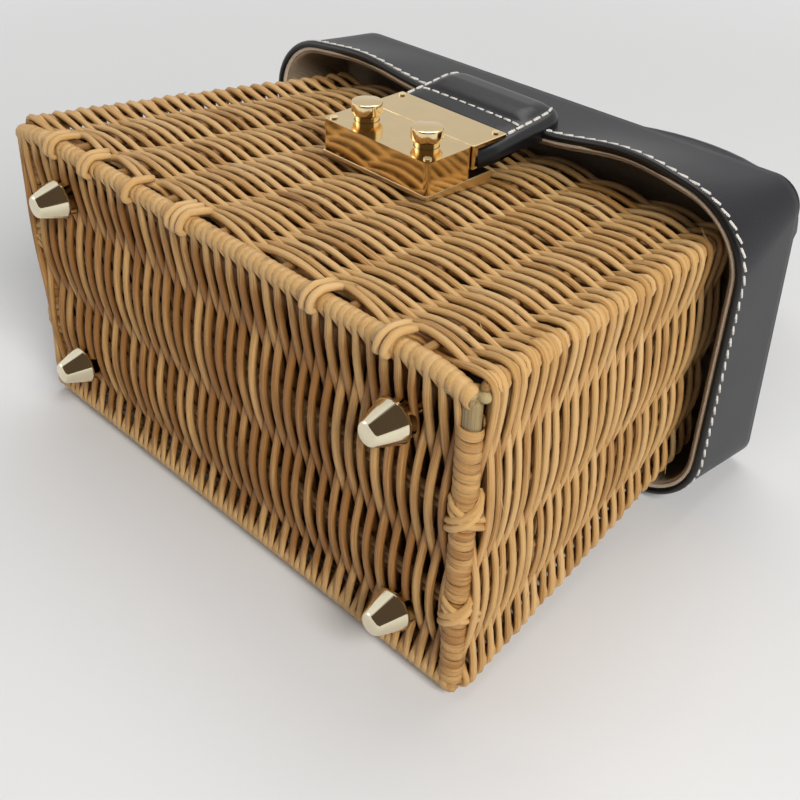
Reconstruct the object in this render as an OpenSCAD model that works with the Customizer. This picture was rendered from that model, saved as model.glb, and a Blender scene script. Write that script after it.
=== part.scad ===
// Basket box bag lying on its back: +X is the bag's right, +Y runs from the feet to the lid,
// +Z points out of the front. Heights up the bag are measured along Y from the base plane.

/* [Basket] */
// Width of the basket at its base
basket_w = 200; // [165:1:240]
// Depth of the basket at its base
basket_d = 104; // [86:1:130]
// Height of the woven walls above the base plane
basket_h = 118; // [98:1:140]
// How far each end wall leans in at the mouth
end_taper = 14; // [11:0.5:17]
// How far the front and the back lean in at the mouth
face_taper = 10.5; // [8.5:0.5:12.5]
// Thickness of the woven walls and base
wall_t = 6; // [5:0.1:7]
// Diameter of the cane that stands out of the weave
cane_d = 3.8; // [3:0.1:4.2]
// Distance between two canes of one column
row_pitch = 4.9; // [4.6:0.1:6]
// Height of a gap between two canes
weave_gap_h = 0.9; // [0.3:0.1:0.9]
// Stakes in the front wall and in the back wall
face_stakes = 7; // [5:1:9]
// Stakes in each end wall
end_stakes = 2; // [1:1:3]
// Diameter of the stakes
stake_d = 3.6; // [3:0.1:4]
// Diameter of the wrapped rods along the base edges
edge_rod_d = 9; // [8:0.1:10]
// Thickness of the strand bundles bound over the edge rods
binding_t = 1.6; // [1.2:0.1:2]
// Width of a strand bundle
binding_w = 6; // [4:0.1:8]
// Diameter of the border rod at the mouth
border_rod_d = 5; // [4:0.1:6]
// Thickness of the cloth lining
lining_t = 1.2; // [0.8:0.1:2]

/* [Feet] */
// Diameter of a foot at the basket
foot_base_d = 11; // [9:0.1:14]
// Diameter of a foot at its tip
foot_tip_d = 6.5; // [5:0.1:8]
// Height of a foot
foot_h = 9.5; // [7:0.1:14]
// Bevel round a foot's tip
foot_bevel = 0.6; // [0.3:0.1:1]
// Distance of a foot from the end of the base
foot_inset_x = 25; // [20:0.5:30]
// Distance of a foot from the front or the back of the base
foot_inset_z = 21; // [18.5:0.5:25]
// Diameter of a foot's screw
foot_screw_d = 3; // [2.5:0.1:4]
// Diameter of the washer inside the base
washer_d = 10; // [8:0.1:12]
// Thickness of the washer
washer_t = 1; // [0.8:0.1:1.5]

/* [Lid] */
// How far each end of the lid lies inside the end of the base
lid_side_in = 0.5; // [0.2:0.1:5]
// How far the lid's front stands past the front of the base
lid_front_out = 2; // [0.5:0.1:4]
// How far the rim lies below the top of the woven walls
rim_overlap = 6; // [1:0.1:8]
// Height of the lid from its rim to its top
lid_h = 34; // [28:1:45]
// Thickness of the leather skirt
leather_t = 3; // [2:0.1:4]
// Thickness of the top panel
top_t = 3; // [2:0.1:5]
// Corner radius of the lid at its rim
rim_r = 24; // [15:1:28]
// Corner radius of the lid at its top
top_r = 7; // [4:0.5:12]
// Diameter of the rolled edge along the rim
piping_d = 3; // [2:0.1:4]
// Thickness of the pale lining
lid_lining_t = 1; // [0.8:0.1:1.5]

/* [Hinge] */
// Distance of the leather hinge strip from the ends of the mouth
strip_inset = 11; // [8:0.5:25]
// Thickness of the hinge strip
strip_t = 2; // [1.5:0.1:2.4]
// Height of the strip's flat part on the back wall
strip_l = 33; // [26:0.5:40]
// Distance below the rim where the strip leaves the back wall
strip_bend_drop = 13; // [11:0.5:16]
// Diameter of the strip's rivets
strip_rivet_d = 6; // [4:0.1:8]
// Height of the strip's rivets
strip_rivet_h = 1; // [0.5:0.1:1.2]

/* [Lock] */
// Width of the lock
lock_w = 44; // [38:0.5:52]
// Distance of the lock's lower edge below the rim
lock_drop = 50; // [46:0.5:60]
// Length of the lock case
case_l = 18.5; // [17:0.5:20]
// Thickness of the lock case
case_h = 10; // [9.5:0.1:11]
// Corner radius of the lock
lock_r = 1.5; // [1:0.1:2]
// Thickness of the case's sheet metal
sheet_t = 1.2; // [0.8:0.1:1.5]
// Least thickness of the base plate
plate_t = 1.5; // [1:0.1:2.5]
// Length of the base plate past the case
plate_out_l = 9; // [5:0.5:11]
// Length of the hasp plate
hasp_l = 14.6; // [12:0.1:18]
// Thickness of the hasp plate
hasp_t = 1.7; // [1.2:0.1:2]
// Thickness of the hasp's end wall
hasp_wall_t = 2.4; // [2:0.1:3]
// Width of the tongue
tongue_w = 13; // [8:0.5:14]
// Length of the tongue
tongue_l = 6.5; // [4:0.1:7]
// Thickness of the tongue
tongue_t = 2; // [1.5:0.1:2.2]
// Diameter of a button
button_d = 9.5; // [8:0.1:11]
// Height of a button's cap
button_h = 3.5; // [2.5:0.1:5]
// Bevel round a button's top
button_bevel = 0.5; // [0.3:0.1:0.9]
// Diameter of a button's neck
neck_d = 7.5; // [6:0.1:7.8]
// Height of the neck that shows
neck_h = 2.2; // [2:0.1:3]
// Distance between the two buttons
button_pitch = 25; // [24:0.5:28]
// Diameter of the lock's small rivets
rivet_d = 2.4; // [1.5:0.1:3]
// Height of the lock's small rivets
rivet_h = 0.4; // [0.2:0.1:0.6]
// Diameter of the spring wire
spring_wire_d = 0.8; // [0.6:0.1:0.9]
// Mean diameter of the spring
spring_d = 6; // [5:0.1:6.4]
// Turns of a spring
spring_turns = 4; // [3:1:5]

/* [Tab] */
// Width of the leather tab
tab_w = 42; // [34:0.5:50]
// Length of the tab on the lid
tab_on_lid_l = 10; // [4:0.5:12]
// Corner radius of the tab's end on the lid
tab_r = 8; // [5:0.5:12]
// Thickness of the tab inside the hasp
tab_t = 6; // [4:0.1:6.5]
// Height of the tab's padding above the lock's face
tab_crown = 1.3; // [0.5:0.1:3]

/* [Handle] */
// Distance of the handle's legs from the ends of the lid
handle_inset = 37.5; // [30:0.5:48]
// Height of the handle above the lid
handle_rise = 113; // [95:1:125]
// Diameter of the handle
handle_d = 11; // [8:0.5:14]
// Width of a handle base
grip_base_w = 26; // [20:1:34]
// Depth of a handle base
grip_base_d = 20; // [16:1:28]
// Thickness of a handle base
grip_base_t = 2.4; // [1.5:0.1:4]
// Corner radius of a handle base
grip_base_r = 5; // [3:0.5:8]
// Diameter of a handle stud
stud_d = 4; // [3:0.1:6]
// Height of a handle stud
stud_h = 1; // [0.5:0.1:2]

/* [Hidden] */

$fn = 48;
// Small gap between pieces that seat on each other
fit_gap = 0.15;
// Running gap round a button's neck
neck_gap = 0.1;
// Gap across the lock's seam
seam_gap = 0.4;
// How far a cut runs past the face it opens
overrun = 1;
// Thickness of the slices that the lid is lofted between
slice_t = 0.1;
// How far the base weave lies inside the base plane
base_set = 0.6;
// How far the corner stakes lie inside the ends of the faces
corner_inset = 3;
// Gap round a corner stake
corner_gap = 0.5;
// Width of the lid that its top loses on each side
lid_taper = 4.5;
// Share of the wall's thickness that rounds the upright corners
corner_share = 0.9;
// Share of a column's width that a weave gap takes
gap_share = 0.55;
// Share of a binding's place along the rods
end_binding_shares = [0.32, 0.62];
// Shares of the strip's width where its rivets sit
rivet_shares = [-0.4, -0.2, 0, 0.2, 0.4];

cane = [0.80, 0.61, 0.36];
cane_dark = [0.66, 0.47, 0.25];
leather = [0.13, 0.13, 0.15];
gold = [0.86, 0.70, 0.40];
pale_gold = [0.82, 0.77, 0.64];
cloth = [0.10, 0.09, 0.10];
beige = [0.78, 0.70, 0.58];

mouth_w = basket_w - 2 * end_taper;
mouth_d = basket_d - 2 * face_taper;
face_slope = face_taper / basket_h;
end_slope = end_taper / basket_h;
corner_r = wall_t * corner_share;
lid_w = basket_w - 2 * lid_side_in;
lid_d = basket_d + lid_front_out;
rim_y = basket_h - rim_overlap;
lock_y = rim_y - lock_drop;
strip_w = mouth_w - 2 * strip_inset;
strip_bend_y = rim_y - strip_bend_drop;
strip_low_y = strip_bend_y - strip_l;
foot_pitch_x = basket_w - 2 * foot_inset_x;
foot_pitch_z = basket_d - 2 * foot_inset_z;
handle_span = lid_w - 2 * handle_inset;
face_lean = atan(face_slope);
end_lean = atan(end_slope);
mid_z = basket_d / 2;
wall_y = edge_rod_d + binding_t + 2 * fit_gap;
// Heights where the walls' outer planes start, so that their leaning lower edges clear the bindings
face_low_y = wall_y + (wall_t + stake_d) * sin(face_lean);
end_low_y = wall_y + (wall_t + stake_d) * sin(end_lean);
rod_r = edge_rod_d / 2;
edge_clear = edge_rod_d + binding_t + 2 * fit_gap;
base_in_y = base_set + wall_t;
lining_y = base_in_y + stake_d + 2 * fit_gap;
foot_y = base_set - fit_gap;
lid_top_y = rim_y + lid_h;
handle_top_y = lid_top_y + handle_rise;
foot_tip_y = foot_y - foot_h;
mid_y = (foot_tip_y + handle_top_y) / 2;
face_pitch = (basket_w - 2 * corner_inset) / (face_stakes + 1);
end_pitch = (basket_d - 2 * corner_inset) / (end_stakes + 1);
case_z = front_z(lock_y) + plate_t + fit_gap;
case_top_z = case_z + case_h;
case_end_y = lock_y + case_l;
hasp_y = case_end_y + seam_gap;
hasp_end_y = hasp_y + hasp_l;
flange_d = neck_d + 2 * sheet_t;
flange_z = case_top_z - sheet_t - fit_gap - sheet_t;
spring_l = flange_z - case_z - 2 * fit_gap;
tongue_z = case_z + plate_t + sheet_t;
hinge_y = rim_y - piping_d - strip_t / 2;
hinge_z = strip_t;
leg_end_y = lid_top_y + grip_base_t;
arch_y = handle_top_y - handle_d / 2 - handle_span / 2;
lid_z = lid_d / 2;

// Depth of the front wall's outer plane at a height
function front_z(y) = basket_d - face_slope * y;
// Half the basket's outer width at a height
function half_w(y) = basket_w / 2 - end_slope * y;
// Half the depth between the inner planes of the front and back walls at a height
function half_in_d(y) = basket_d / 2 - face_slope * y - wall_t / cos(face_lean);

// Puts the part's box over the origin
module seat() {
    translate([0, -mid_y, 0]) children();
}

// Local frame of a wall: X along it, Y up it, Z out of it
module front_face() {
    translate([0, 0, basket_d]) rotate([-face_lean, 0, 0]) children();
}

module back_face() {
    translate([0, 0, basket_d]) mirror([0, 0, 1]) front_face() children();
}

module right_face() {
    translate([basket_w / 2, 0, mid_z]) rotate([0, 0, end_lean]) rotate([0, 90, 0]) children();
}

module left_face() {
    mirror([1, 0, 0]) right_face() children();
}

// Section through one column of the weave: a backing with half-sunk canes, one column shifted by half a row
module column_section(low, high, shifted) {
    first = low + cane_d / 2 + (shifted ? row_pitch / 2 : 0);
    translate([low, -wall_t]) square([high - low, wall_t - cane_d / 2]);
    for (v = [first : row_pitch : high - cane_d / 2]) {
        translate([v, -cane_d / 2]) circle(d = cane_d);
    }
}

// Gaps between the canes of one column, at every second cane
module column_gaps(low, high, shifted, column_x, pitch, draw_in) {
    first = low + cane_d / 2 + (shifted ? row_pitch / 2 : 0) + row_pitch / 2;
    for (v = [first : 2 * row_pitch : high - cane_d]) {
        spread = 1 - (1 - draw_in) * (v - low) / (high - low);
        gap_l = pitch * gap_share * spread;
        translate([column_x * spread - gap_l / 2, v - weave_gap_h / 2, -wall_t - overrun])
            cube([gap_l, weave_gap_h, wall_t + 2 * overrun]);
    }
}

// A woven panel cut to a tapered outline: canes run along X in columns that draw together
// like the stakes that they lie over
module woven_panel(low_w, high_w, low, high, stakes, pitch) {
    draw_in = high_w / low_w;
    intersection() {
        difference() {
            for (i = [0 : stakes + 1]) {
                column_x = (i - (stakes + 1) / 2) * pitch;
                left = column_x - pitch / 2;
                right = column_x + pitch / 2;
                intersection() {
                    translate([column_x - 3 / 2 * pitch, 0, 0]) rotate([90, 0, 90])
                        linear_extrude(3 * pitch) column_section(low, high, i % 2 == 1);
                    translate([0, 0, -wall_t - overrun]) linear_extrude(wall_t + 2 * overrun) polygon([
                        [left, low], [right, low], [right * draw_in, high], [left * draw_in, high]
                    ]);
                }
            }
            for (i = [0 : stakes + 1]) {
                column_gaps(low, high, i % 2 == 1, (i - (stakes + 1) / 2) * pitch, pitch, draw_in);
            }
        }
        translate([0, 0, -wall_t - overrun]) linear_extrude(wall_t + 2 * overrun)
            polygon([[-low_w / 2, low], [low_w / 2, low], [high_w / 2, high], [-high_w / 2, high]]);
    }
}

// What a rounded upright corner takes off the right edge of a face
module corner_cut(low_w, high_w, low, high) {
    edge_lean = atan((low_w - high_w) / 2 / (high - low));
    edge_l = (high - low) / cos(edge_lean);
    translate([low_w / 2, low, 0]) rotate([0, 0, edge_lean]) difference() {
        translate([-corner_r, -overrun, -corner_r])
            cube([corner_r + overrun, edge_l + 2 * overrun, corner_r + overrun]);
        translate([-corner_r, -2 * overrun, -corner_r]) rotate([-90, 0, 0])
            cylinder(h = edge_l + 4 * overrun, r = corner_r);
    }
}

module face_panel() {
    low = face_low_y / cos(face_lean);
    high = basket_h / cos(face_lean);
    low_w = 2 * half_w(face_low_y);
    difference() {
        woven_panel(low_w, mouth_w, low, high, face_stakes, face_pitch);
        corner_cut(low_w, mouth_w, low, high);
        mirror([1, 0, 0]) corner_cut(low_w, mouth_w, low, high);
    }
}

module end_panel() {
    low = end_low_y / cos(end_lean);
    high = basket_h / cos(end_lean);
    low_w = 2 * half_in_d(end_low_y) - 4 * fit_gap;
    high_w = 2 * half_in_d(basket_h) - 4 * fit_gap;
    woven_panel(low_w, high_w, low, high, end_stakes, end_pitch);
}

module weave_front() { color(cane) seat() front_face() face_panel(); }
module weave_back() { color(cane) seat() back_face() face_panel(); }
module weave_left() { color(cane) seat() left_face() end_panel(); }
module weave_right() { color(cane) seat() right_face() end_panel(); }

// Where the feet stand
module at_feet() {
    for (sx = [-1, 1]) {
        for (sz = [-1, 1]) {
            translate([sx * foot_pitch_x / 2, 0, mid_z + sz * foot_pitch_z / 2]) children();
        }
    }
}

// A cylinder that runs along +Y from a height
module upright(from_y, length, d) {
    translate([0, from_y, 0]) rotate([-90, 0, 0]) cylinder(h = length, d = d);
}

module weave_base() {
    half_l = basket_w / 2 - edge_clear;
    depth = basket_d - 2 * edge_clear;
    color(cane_dark) seat() difference() {
        translate([0, base_set, mid_z]) rotate([90, 90, 0])
            woven_panel(depth, depth, -half_l, half_l, end_stakes, end_pitch);
        at_feet() upright(base_set - overrun, wall_t + 2 * overrun, foot_screw_d + 2 * fit_gap);
    }
}

// Rods along the base edges
module face_rod(z) {
    translate([-basket_w / 2, rod_r, z]) rotate([0, 90, 0]) cylinder(h = basket_w, d = edge_rod_d);
}

module end_rod(x) {
    translate([x, rod_r, edge_rod_d + fit_gap])
        cylinder(h = basket_d - 2 * edge_rod_d - 2 * fit_gap, d = edge_rod_d);
}

module edge_rod_front() { color(cane) seat() face_rod(basket_d - rod_r); }
module edge_rod_back() { color(cane) seat() face_rod(rod_r); }
module edge_rod_left() { color(cane) seat() end_rod(-basket_w / 2 + rod_r); }
module edge_rod_right() { color(cane) seat() end_rod(basket_w / 2 - rod_r); }

// A strand bundle round a rod
module binding() {
    difference() {
        cylinder(h = binding_w, d = edge_rod_d + 2 * fit_gap + 2 * binding_t, center = true);
        cylinder(h = binding_w + 2 * overrun, d = edge_rod_d + 2 * fit_gap, center = true);
    }
}

module edge_bindings() {
    color(cane) seat() {
        for (i = [1 : face_stakes]) {
            translate([(i - (face_stakes + 1) / 2) * face_pitch, rod_r, basket_d - rod_r])
                rotate([0, 90, 0]) binding();
        }
        for (share = end_binding_shares) {
            for (sx = [-1, 1]) {
                translate([sx * (basket_w / 2 - rod_r), rod_r, share * basket_d]) binding();
            }
        }
    }
}

// Stakes inside the walls, drawn together towards the mouth
module stake_row(count, pitch, low, high, draw_in) {
    for (i = [1 : count]) {
        stake_x = (i - (count + 1) / 2) * pitch;
        stake_lean = atan(stake_x * (1 - draw_in) / (high - low));
        translate([stake_x, low, -wall_t - stake_d / 2 - fit_gap]) rotate([0, 0, stake_lean])
            upright(0, high - low, stake_d);
    }
}

module face_stakes_set() {
    low = face_low_y / cos(face_lean);
    high = basket_h / cos(face_lean);
    color(cane_dark) seat() {
        front_face() stake_row(face_stakes, face_pitch, low, high, mouth_w / basket_w);
        back_face() stake_row(face_stakes, face_pitch, low, high, mouth_w / basket_w);
    }
}

module end_stakes_set() {
    low = end_low_y / cos(end_lean);
    high = basket_h / cos(end_lean);
    color(cane_dark) seat() {
        right_face() stake_row(end_stakes, end_pitch, low, high, mouth_d / basket_d);
        left_face() stake_row(end_stakes, end_pitch, low, high, mouth_d / basket_d);
    }
}

module corner_stakes() {
    corner_x = half_w(wall_y) - wall_t / cos(end_lean) - stake_d / 2 - corner_gap;
    corner_z = half_in_d(wall_y) - stake_d / 2 - corner_gap;
    color(cane_dark) seat() translate([0, 0, mid_z]) {
        for (sx = [0, 1]) {
            for (sz = [0, 1]) {
                mirror([sx, 0, 0]) mirror([0, 0, sz]) translate([corner_x, wall_y, corner_z])
                    rotate([-face_lean, 0, end_lean]) upright(0, basket_h - wall_y, stake_d);
            }
        }
    }
}

module base_stakes() {
    length = basket_w - 2 * edge_clear;
    color(cane_dark) seat() {
        for (i = [1 : end_stakes]) {
            translate([-length / 2, base_in_y + fit_gap + stake_d / 2,
                mid_z + (i - (end_stakes + 1) / 2) * end_pitch])
                rotate([0, 90, 0]) cylinder(h = length, d = stake_d);
        }
    }
}

// Border rod that closes the weave at the mouth
module border_rod() {
    half_x = mouth_w / 2 - wall_t / 2;
    half_z = mouth_d / 2 - wall_t / 2;
    color(cane) seat() translate([0, basket_h + border_rod_d / 2 + fit_gap, mid_z]) {
        for (s = [-1, 1]) {
            translate([-half_x, 0, s * half_z]) rotate([0, 90, 0]) cylinder(h = 2 * half_x, d = border_rod_d);
            translate([s * half_x, 0, -half_z]) cylinder(h = 2 * half_z, d = border_rod_d);
            for (t = [-1, 1]) {
                translate([s * half_x, 0, t * half_z]) sphere(d = border_rod_d);
            }
        }
    }
}

// The space inside the stakes, moved in by an inset, between two heights
module inner_space(inset, low, high) {
    function hx(y) = half_w(y) - wall_t - stake_d - 4 * fit_gap - inset;
    function hz(y) = half_in_d(y) - stake_d - 4 * fit_gap - inset;
    polyhedron(
        points = [
            [-hx(low), low, -hz(low)], [hx(low), low, -hz(low)],
            [hx(low), low, hz(low)], [-hx(low), low, hz(low)],
            [-hx(high), high, -hz(high)], [hx(high), high, -hz(high)],
            [hx(high), high, hz(high)], [-hx(high), high, hz(high)]
        ],
        faces = [[3, 2, 1, 0], [4, 5, 6, 7], [0, 1, 5, 4], [1, 2, 6, 5], [2, 3, 7, 6], [3, 0, 4, 7]]
    );
}

module cloth_lining() {
    color(cloth) seat() translate([0, 0, mid_z]) difference() {
        inner_space(0, lining_y, basket_h);
        inner_space(lining_t, lining_y + lining_t, basket_h + overrun);
    }
}

// Leather hinge strip: flat on the back wall, then bent out to the hinge line
module hinge_strip() {
    wall_low_z = face_slope * strip_low_y - fit_gap;
    wall_bend_z = face_slope * strip_bend_y - fit_gap;
    end_y = hinge_y - strip_t / 2;
    color(leather) seat() translate([-strip_w / 2, 0, 0]) rotate([90, 0, 90]) linear_extrude(strip_w)
        polygon([
            [strip_low_y, wall_low_z - strip_t], [strip_bend_y, wall_bend_z - strip_t],
            [end_y, hinge_z - strip_t / 2], [end_y, hinge_z + strip_t / 2],
            [strip_bend_y, wall_bend_z], [strip_low_y, wall_low_z]
        ]);
}

module hinge_rivets() {
    rivet_v = (strip_low_y + strip_rivet_d) / cos(face_lean);
    color(gold) seat() back_face() {
        for (share = rivet_shares) {
            translate([share * strip_w, rivet_v, strip_t + fit_gap + fit_gap])
                cylinder(h = strip_rivet_h, d = strip_rivet_d);
        }
    }
}

// Turned feet with a bevelled tip
module foot(sx, sz) {
    color(pale_gold) seat()
        translate([sx * foot_pitch_x / 2, foot_y, mid_z + sz * foot_pitch_z / 2]) rotate([90, 0, 0])
            rotate_extrude() polygon([
                [0, 0], [foot_base_d / 2, 0], [foot_tip_d / 2, foot_h - foot_bevel],
                [foot_tip_d / 2 - foot_bevel, foot_h], [0, foot_h]
            ]);
}

module foot_front_left() { foot(-1, 1); }
module foot_front_right() { foot(1, 1); }
module foot_back_left() { foot(-1, -1); }
module foot_back_right() { foot(1, -1); }

module foot_washers() {
    color(gold) seat() at_feet() difference() {
        upright(base_in_y, washer_t, washer_d);
        upright(base_in_y - overrun, washer_t + 2 * overrun, foot_screw_d + 2 * fit_gap);
    }
}

module foot_screws() {
    head_y = base_in_y + washer_t;
    color(gold) seat() at_feet() {
        upright(foot_y, head_y - foot_y + washer_t, foot_screw_d);
        upright(head_y, washer_t, 2 * foot_screw_d);
    }
}

// Wedge between the sloping wall and the level lock
module lock_base_plate() {
    end_y = case_end_y + plate_out_l;
    color(gold) seat() translate([-lock_w / 2, 0, 0]) rotate([90, 0, 90]) linear_extrude(lock_w)
        polygon([
            [lock_y, front_z(lock_y) + fit_gap], [end_y, front_z(end_y) + fit_gap],
            [end_y, case_z], [lock_y, case_z]
        ]);
}

// Rounded rectangle, centred
module round_plate(w, d, r) {
    square([w - 2 * r, d], center = true);
    square([w, d - 2 * r], center = true);
    for (sx = [-1, 1]) {
        for (sy = [-1, 1]) {
            translate([sx * (w / 2 - r), sy * (d / 2 - r)]) circle(r = r);
        }
    }
}

// Case of sheet metal, open below, with bores for the necks and a slot for the tongue
module lock_case() {
    slot_w = tongue_w + 2 * seam_gap;
    slot_z = tongue_z - seam_gap;
    color(gold) seat() difference() {
        translate([0, lock_y + case_l / 2, case_z]) linear_extrude(case_h)
            round_plate(lock_w, case_l, lock_r);
        translate([-lock_w / 2 + sheet_t, lock_y + sheet_t, case_z - overrun])
            cube([lock_w - 2 * sheet_t, case_l - 2 * sheet_t, case_h - sheet_t + overrun]);
        translate([-slot_w / 2, case_end_y - sheet_t - overrun, slot_z])
            cube([slot_w, sheet_t + 2 * overrun, case_top_z - sheet_t - slot_z]);
        for (s = [-1, 1]) {
            translate([s * button_pitch / 2, lock_y + case_l / 2, case_z])
                cylinder(h = case_h + overrun, d = neck_d + 2 * neck_gap);
        }
    }
}

module case_rivets() {
    edge = rivet_d;
    color(gold) seat() {
        for (s = [-1, 1]) {
            translate([s * (lock_w / 2 - edge), lock_y + edge, case_top_z])
                cylinder(h = rivet_h, d = rivet_d);
        }
    }
}

// A button turned in one piece: flange inside the case, neck through it, cap above it
module button(s) {
    cap_z = case_top_z + neck_h;
    top_z = cap_z + button_h;
    color(gold) seat() translate([s * button_pitch / 2, lock_y + case_l / 2, 0]) rotate_extrude() polygon([
        [0, flange_z], [flange_d / 2, flange_z], [flange_d / 2, flange_z + sheet_t],
        [neck_d / 2, flange_z + sheet_t], [neck_d / 2, cap_z], [button_d / 2, cap_z],
        [button_d / 2, top_z - button_bevel], [button_d / 2 - button_bevel, top_z], [0, top_z]
    ]);
}

module button_left() { button(-1); }
module button_right() { button(1); }

// Coil spring between the base plate and a button's flange
module spring(s) {
    sides = 6;
    steps = 12;
    rings = spring_turns * steps;
    rise = spring_l - spring_wire_d;
    function ring_point(i, j) =
        let (turn = 360 * i / steps, side = 360 * j / sides, r = spring_d / 2 + spring_wire_d / 2 * cos(side))
        [r * cos(turn), r * sin(turn), spring_wire_d / 2 + rise * i / rings + spring_wire_d / 2 * sin(side)];
    points = [for (i = [0 : rings]) for (j = [0 : sides - 1]) ring_point(i, j)];
    walls = [for (i = [0 : rings - 1]) for (j = [0 : sides - 1])
        [i * sides + j, (i + 1) * sides + j, (i + 1) * sides + (j + 1) % sides, i * sides + (j + 1) % sides]];
    start = [for (j = [0 : sides - 1]) j];
    end = [for (j = [sides - 1 : -1 : 0]) rings * sides + j];
    color(pale_gold) seat() translate([s * button_pitch / 2, lock_y + case_l / 2, case_z + fit_gap])
        polyhedron(points = points, faces = concat(walls, [start, end]));
}

module spring_left() { spring(-1); }
module spring_right() { spring(1); }

// Hasp: a plate over the tab with an end wall at the seam
module hasp_plate() {
    wall_z = tongue_z - seam_gap;
    color(gold) seat() translate([-lock_w / 2, 0, 0]) rotate([90, 0, 90]) linear_extrude(lock_w)
        polygon([
            [hasp_y, wall_z], [hasp_y + hasp_wall_t, wall_z],
            [hasp_y + hasp_wall_t, case_top_z - hasp_t], [hasp_end_y, case_top_z - hasp_t],
            [hasp_end_y, case_top_z], [hasp_y, case_top_z]
        ]);
}

module hasp_tongue() {
    color(gold) seat() translate([-tongue_w / 2, hasp_y - tongue_l, tongue_z])
        cube([tongue_w, tongue_l, tongue_t]);
}

module hasp_rivets() {
    edge = rivet_d;
    color(gold) seat() {
        for (s = [-1, 1]) {
            translate([s * (lock_w / 2 - edge), hasp_end_y - edge, case_top_z])
                cylinder(h = rivet_h, d = rivet_d);
        }
    }
}

// Padded tab from the hasp up on to the lid's front
module lock_tab() {
    in_y = hasp_y + hasp_wall_t + fit_gap;
    in_top_z = case_top_z - hasp_t - fit_gap;
    out_y = hasp_end_y + fit_gap;
    lid_y = rim_y - piping_d - 2 * fit_gap;
    end_y = rim_y + tab_on_lid_l;
    step_z = lid_d + 2 * fit_gap;
    crown_z = case_top_z + tab_crown;
    color(leather) seat() intersection() {
        translate([-tab_w / 2, 0, 0]) rotate([90, 0, 90]) linear_extrude(tab_w)
            polygon([
                [in_y, in_top_z - tab_t], [lid_y - tab_t, in_top_z - tab_t], [lid_y, step_z], [end_y, step_z],
                [end_y, (step_z + crown_z) / 2], [end_y - tab_crown, crown_z - tab_crown / 2],
                [rim_y - piping_d, crown_z], [out_y + tab_t, crown_z], [out_y, case_top_z - hasp_t / 2],
                [out_y, in_top_z], [in_y, in_top_z]
            ]);
        translate([0, in_y - tab_r, 0]) linear_extrude(crown_z + overrun)
            translate([0, (end_y - in_y + tab_r) / 2]) round_plate(tab_w, end_y - in_y + tab_r, tab_r);
    }
}

// Rounded rectangle in the XZ plane, centred on the lid, with its top face at a height
module lid_slab(w, d, r, top_y, height) {
    translate([0, top_y, lid_z]) rotate([90, 0, 0]) linear_extrude(height) round_plate(w, d, r);
}

// The lid's form moved in by an inset, lofted from the soft rim to the crisp top and past both
module lid_form(inset) {
    hull() {
        lid_slab(lid_w - 2 * inset, lid_d - 2 * inset, rim_r - inset, rim_y - overrun, slice_t, $fn = 32);
        lid_slab(lid_w - 2 * lid_taper - 2 * inset, lid_d - 2 * inset, top_r - inset / 2,
            lid_top_y - top_t + overrun, slice_t, $fn = 32);
    }
}

// Everything between two heights
module lid_band(low, high) {
    translate([-lid_w, low, -lid_d]) cube([2 * lid_w, high - low, 3 * lid_d]);
}

module lid_skirt() {
    color(leather) seat() difference() {
        intersection() {
            lid_form(0);
            lid_band(rim_y, lid_top_y - top_t);
        }
        lid_form(leather_t);
    }
}

module lid_top() {
    color(leather) seat() lid_slab(lid_w - 2 * lid_taper, lid_d, top_r, lid_top_y, top_t);
}

// Rolled edge: a round bead along the rim, with quarter rings at the corners
module rim_piping() {
    half_x = lid_w / 2 - rim_r;
    half_z = lid_d / 2 - rim_r;
    bead_r = rim_r - piping_d / 2;
    color(leather) seat() translate([0, rim_y - piping_d / 2 - fit_gap, lid_z]) {
        for (s = [-1, 1]) {
            translate([-half_x, 0, s * (half_z + bead_r)]) rotate([0, 90, 0])
                cylinder(h = 2 * half_x, d = piping_d);
            translate([s * (half_x + bead_r), 0, -half_z]) cylinder(h = 2 * half_z, d = piping_d);
        }
        for (sx = [0, 1]) {
            for (sz = [0, 1]) {
                mirror([sx, 0, 0]) mirror([0, 0, sz]) translate([half_x, 0, half_z]) rotate([90, 0, 0])
                    rotate_extrude(angle = 90) translate([bead_r, 0]) circle(d = piping_d);
            }
        }
    }
}

module lid_lining() {
    inset = leather_t + fit_gap;
    high = lid_top_y - top_t - fit_gap;
    color(beige) seat() intersection() {
        difference() {
            lid_form(inset);
            intersection() {
                lid_form(inset + lid_lining_t);
                lid_band(rim_y - 2 * overrun, high - lid_lining_t);
            }
        }
        lid_band(rim_y, high);
    }
}

// Rolled handle: two straight legs and a half-round arch
module handle_grip() {
    color(leather) seat() translate([0, 0, lid_z]) {
        translate([0, arch_y, 0]) rotate_extrude(angle = 180)
            translate([handle_span / 2, 0]) circle(d = handle_d);
        for (s = [-1, 1]) {
            translate([s * handle_span / 2, 0, 0]) upright(leg_end_y, arch_y - leg_end_y, handle_d);
        }
    }
}

module handle_base(s) {
    color(leather) seat() translate([s * handle_span / 2, leg_end_y, lid_z]) rotate([90, 0, 0])
        linear_extrude(grip_base_t) round_plate(grip_base_w, grip_base_d, grip_base_r);
}

module handle_base_left() { handle_base(-1); }
module handle_base_right() { handle_base(1); }

module handle_studs() {
    edge = stud_d;
    color(gold) seat() translate([0, 0, lid_z]) {
        for (s = [-1, 1]) {
            for (t = [-1, 1]) {
                translate([s * handle_span / 2 + t * (grip_base_w / 2 - edge), 0, 0])
                    upright(leg_end_y, stud_h, stud_d);
            }
        }
    }
}

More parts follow.
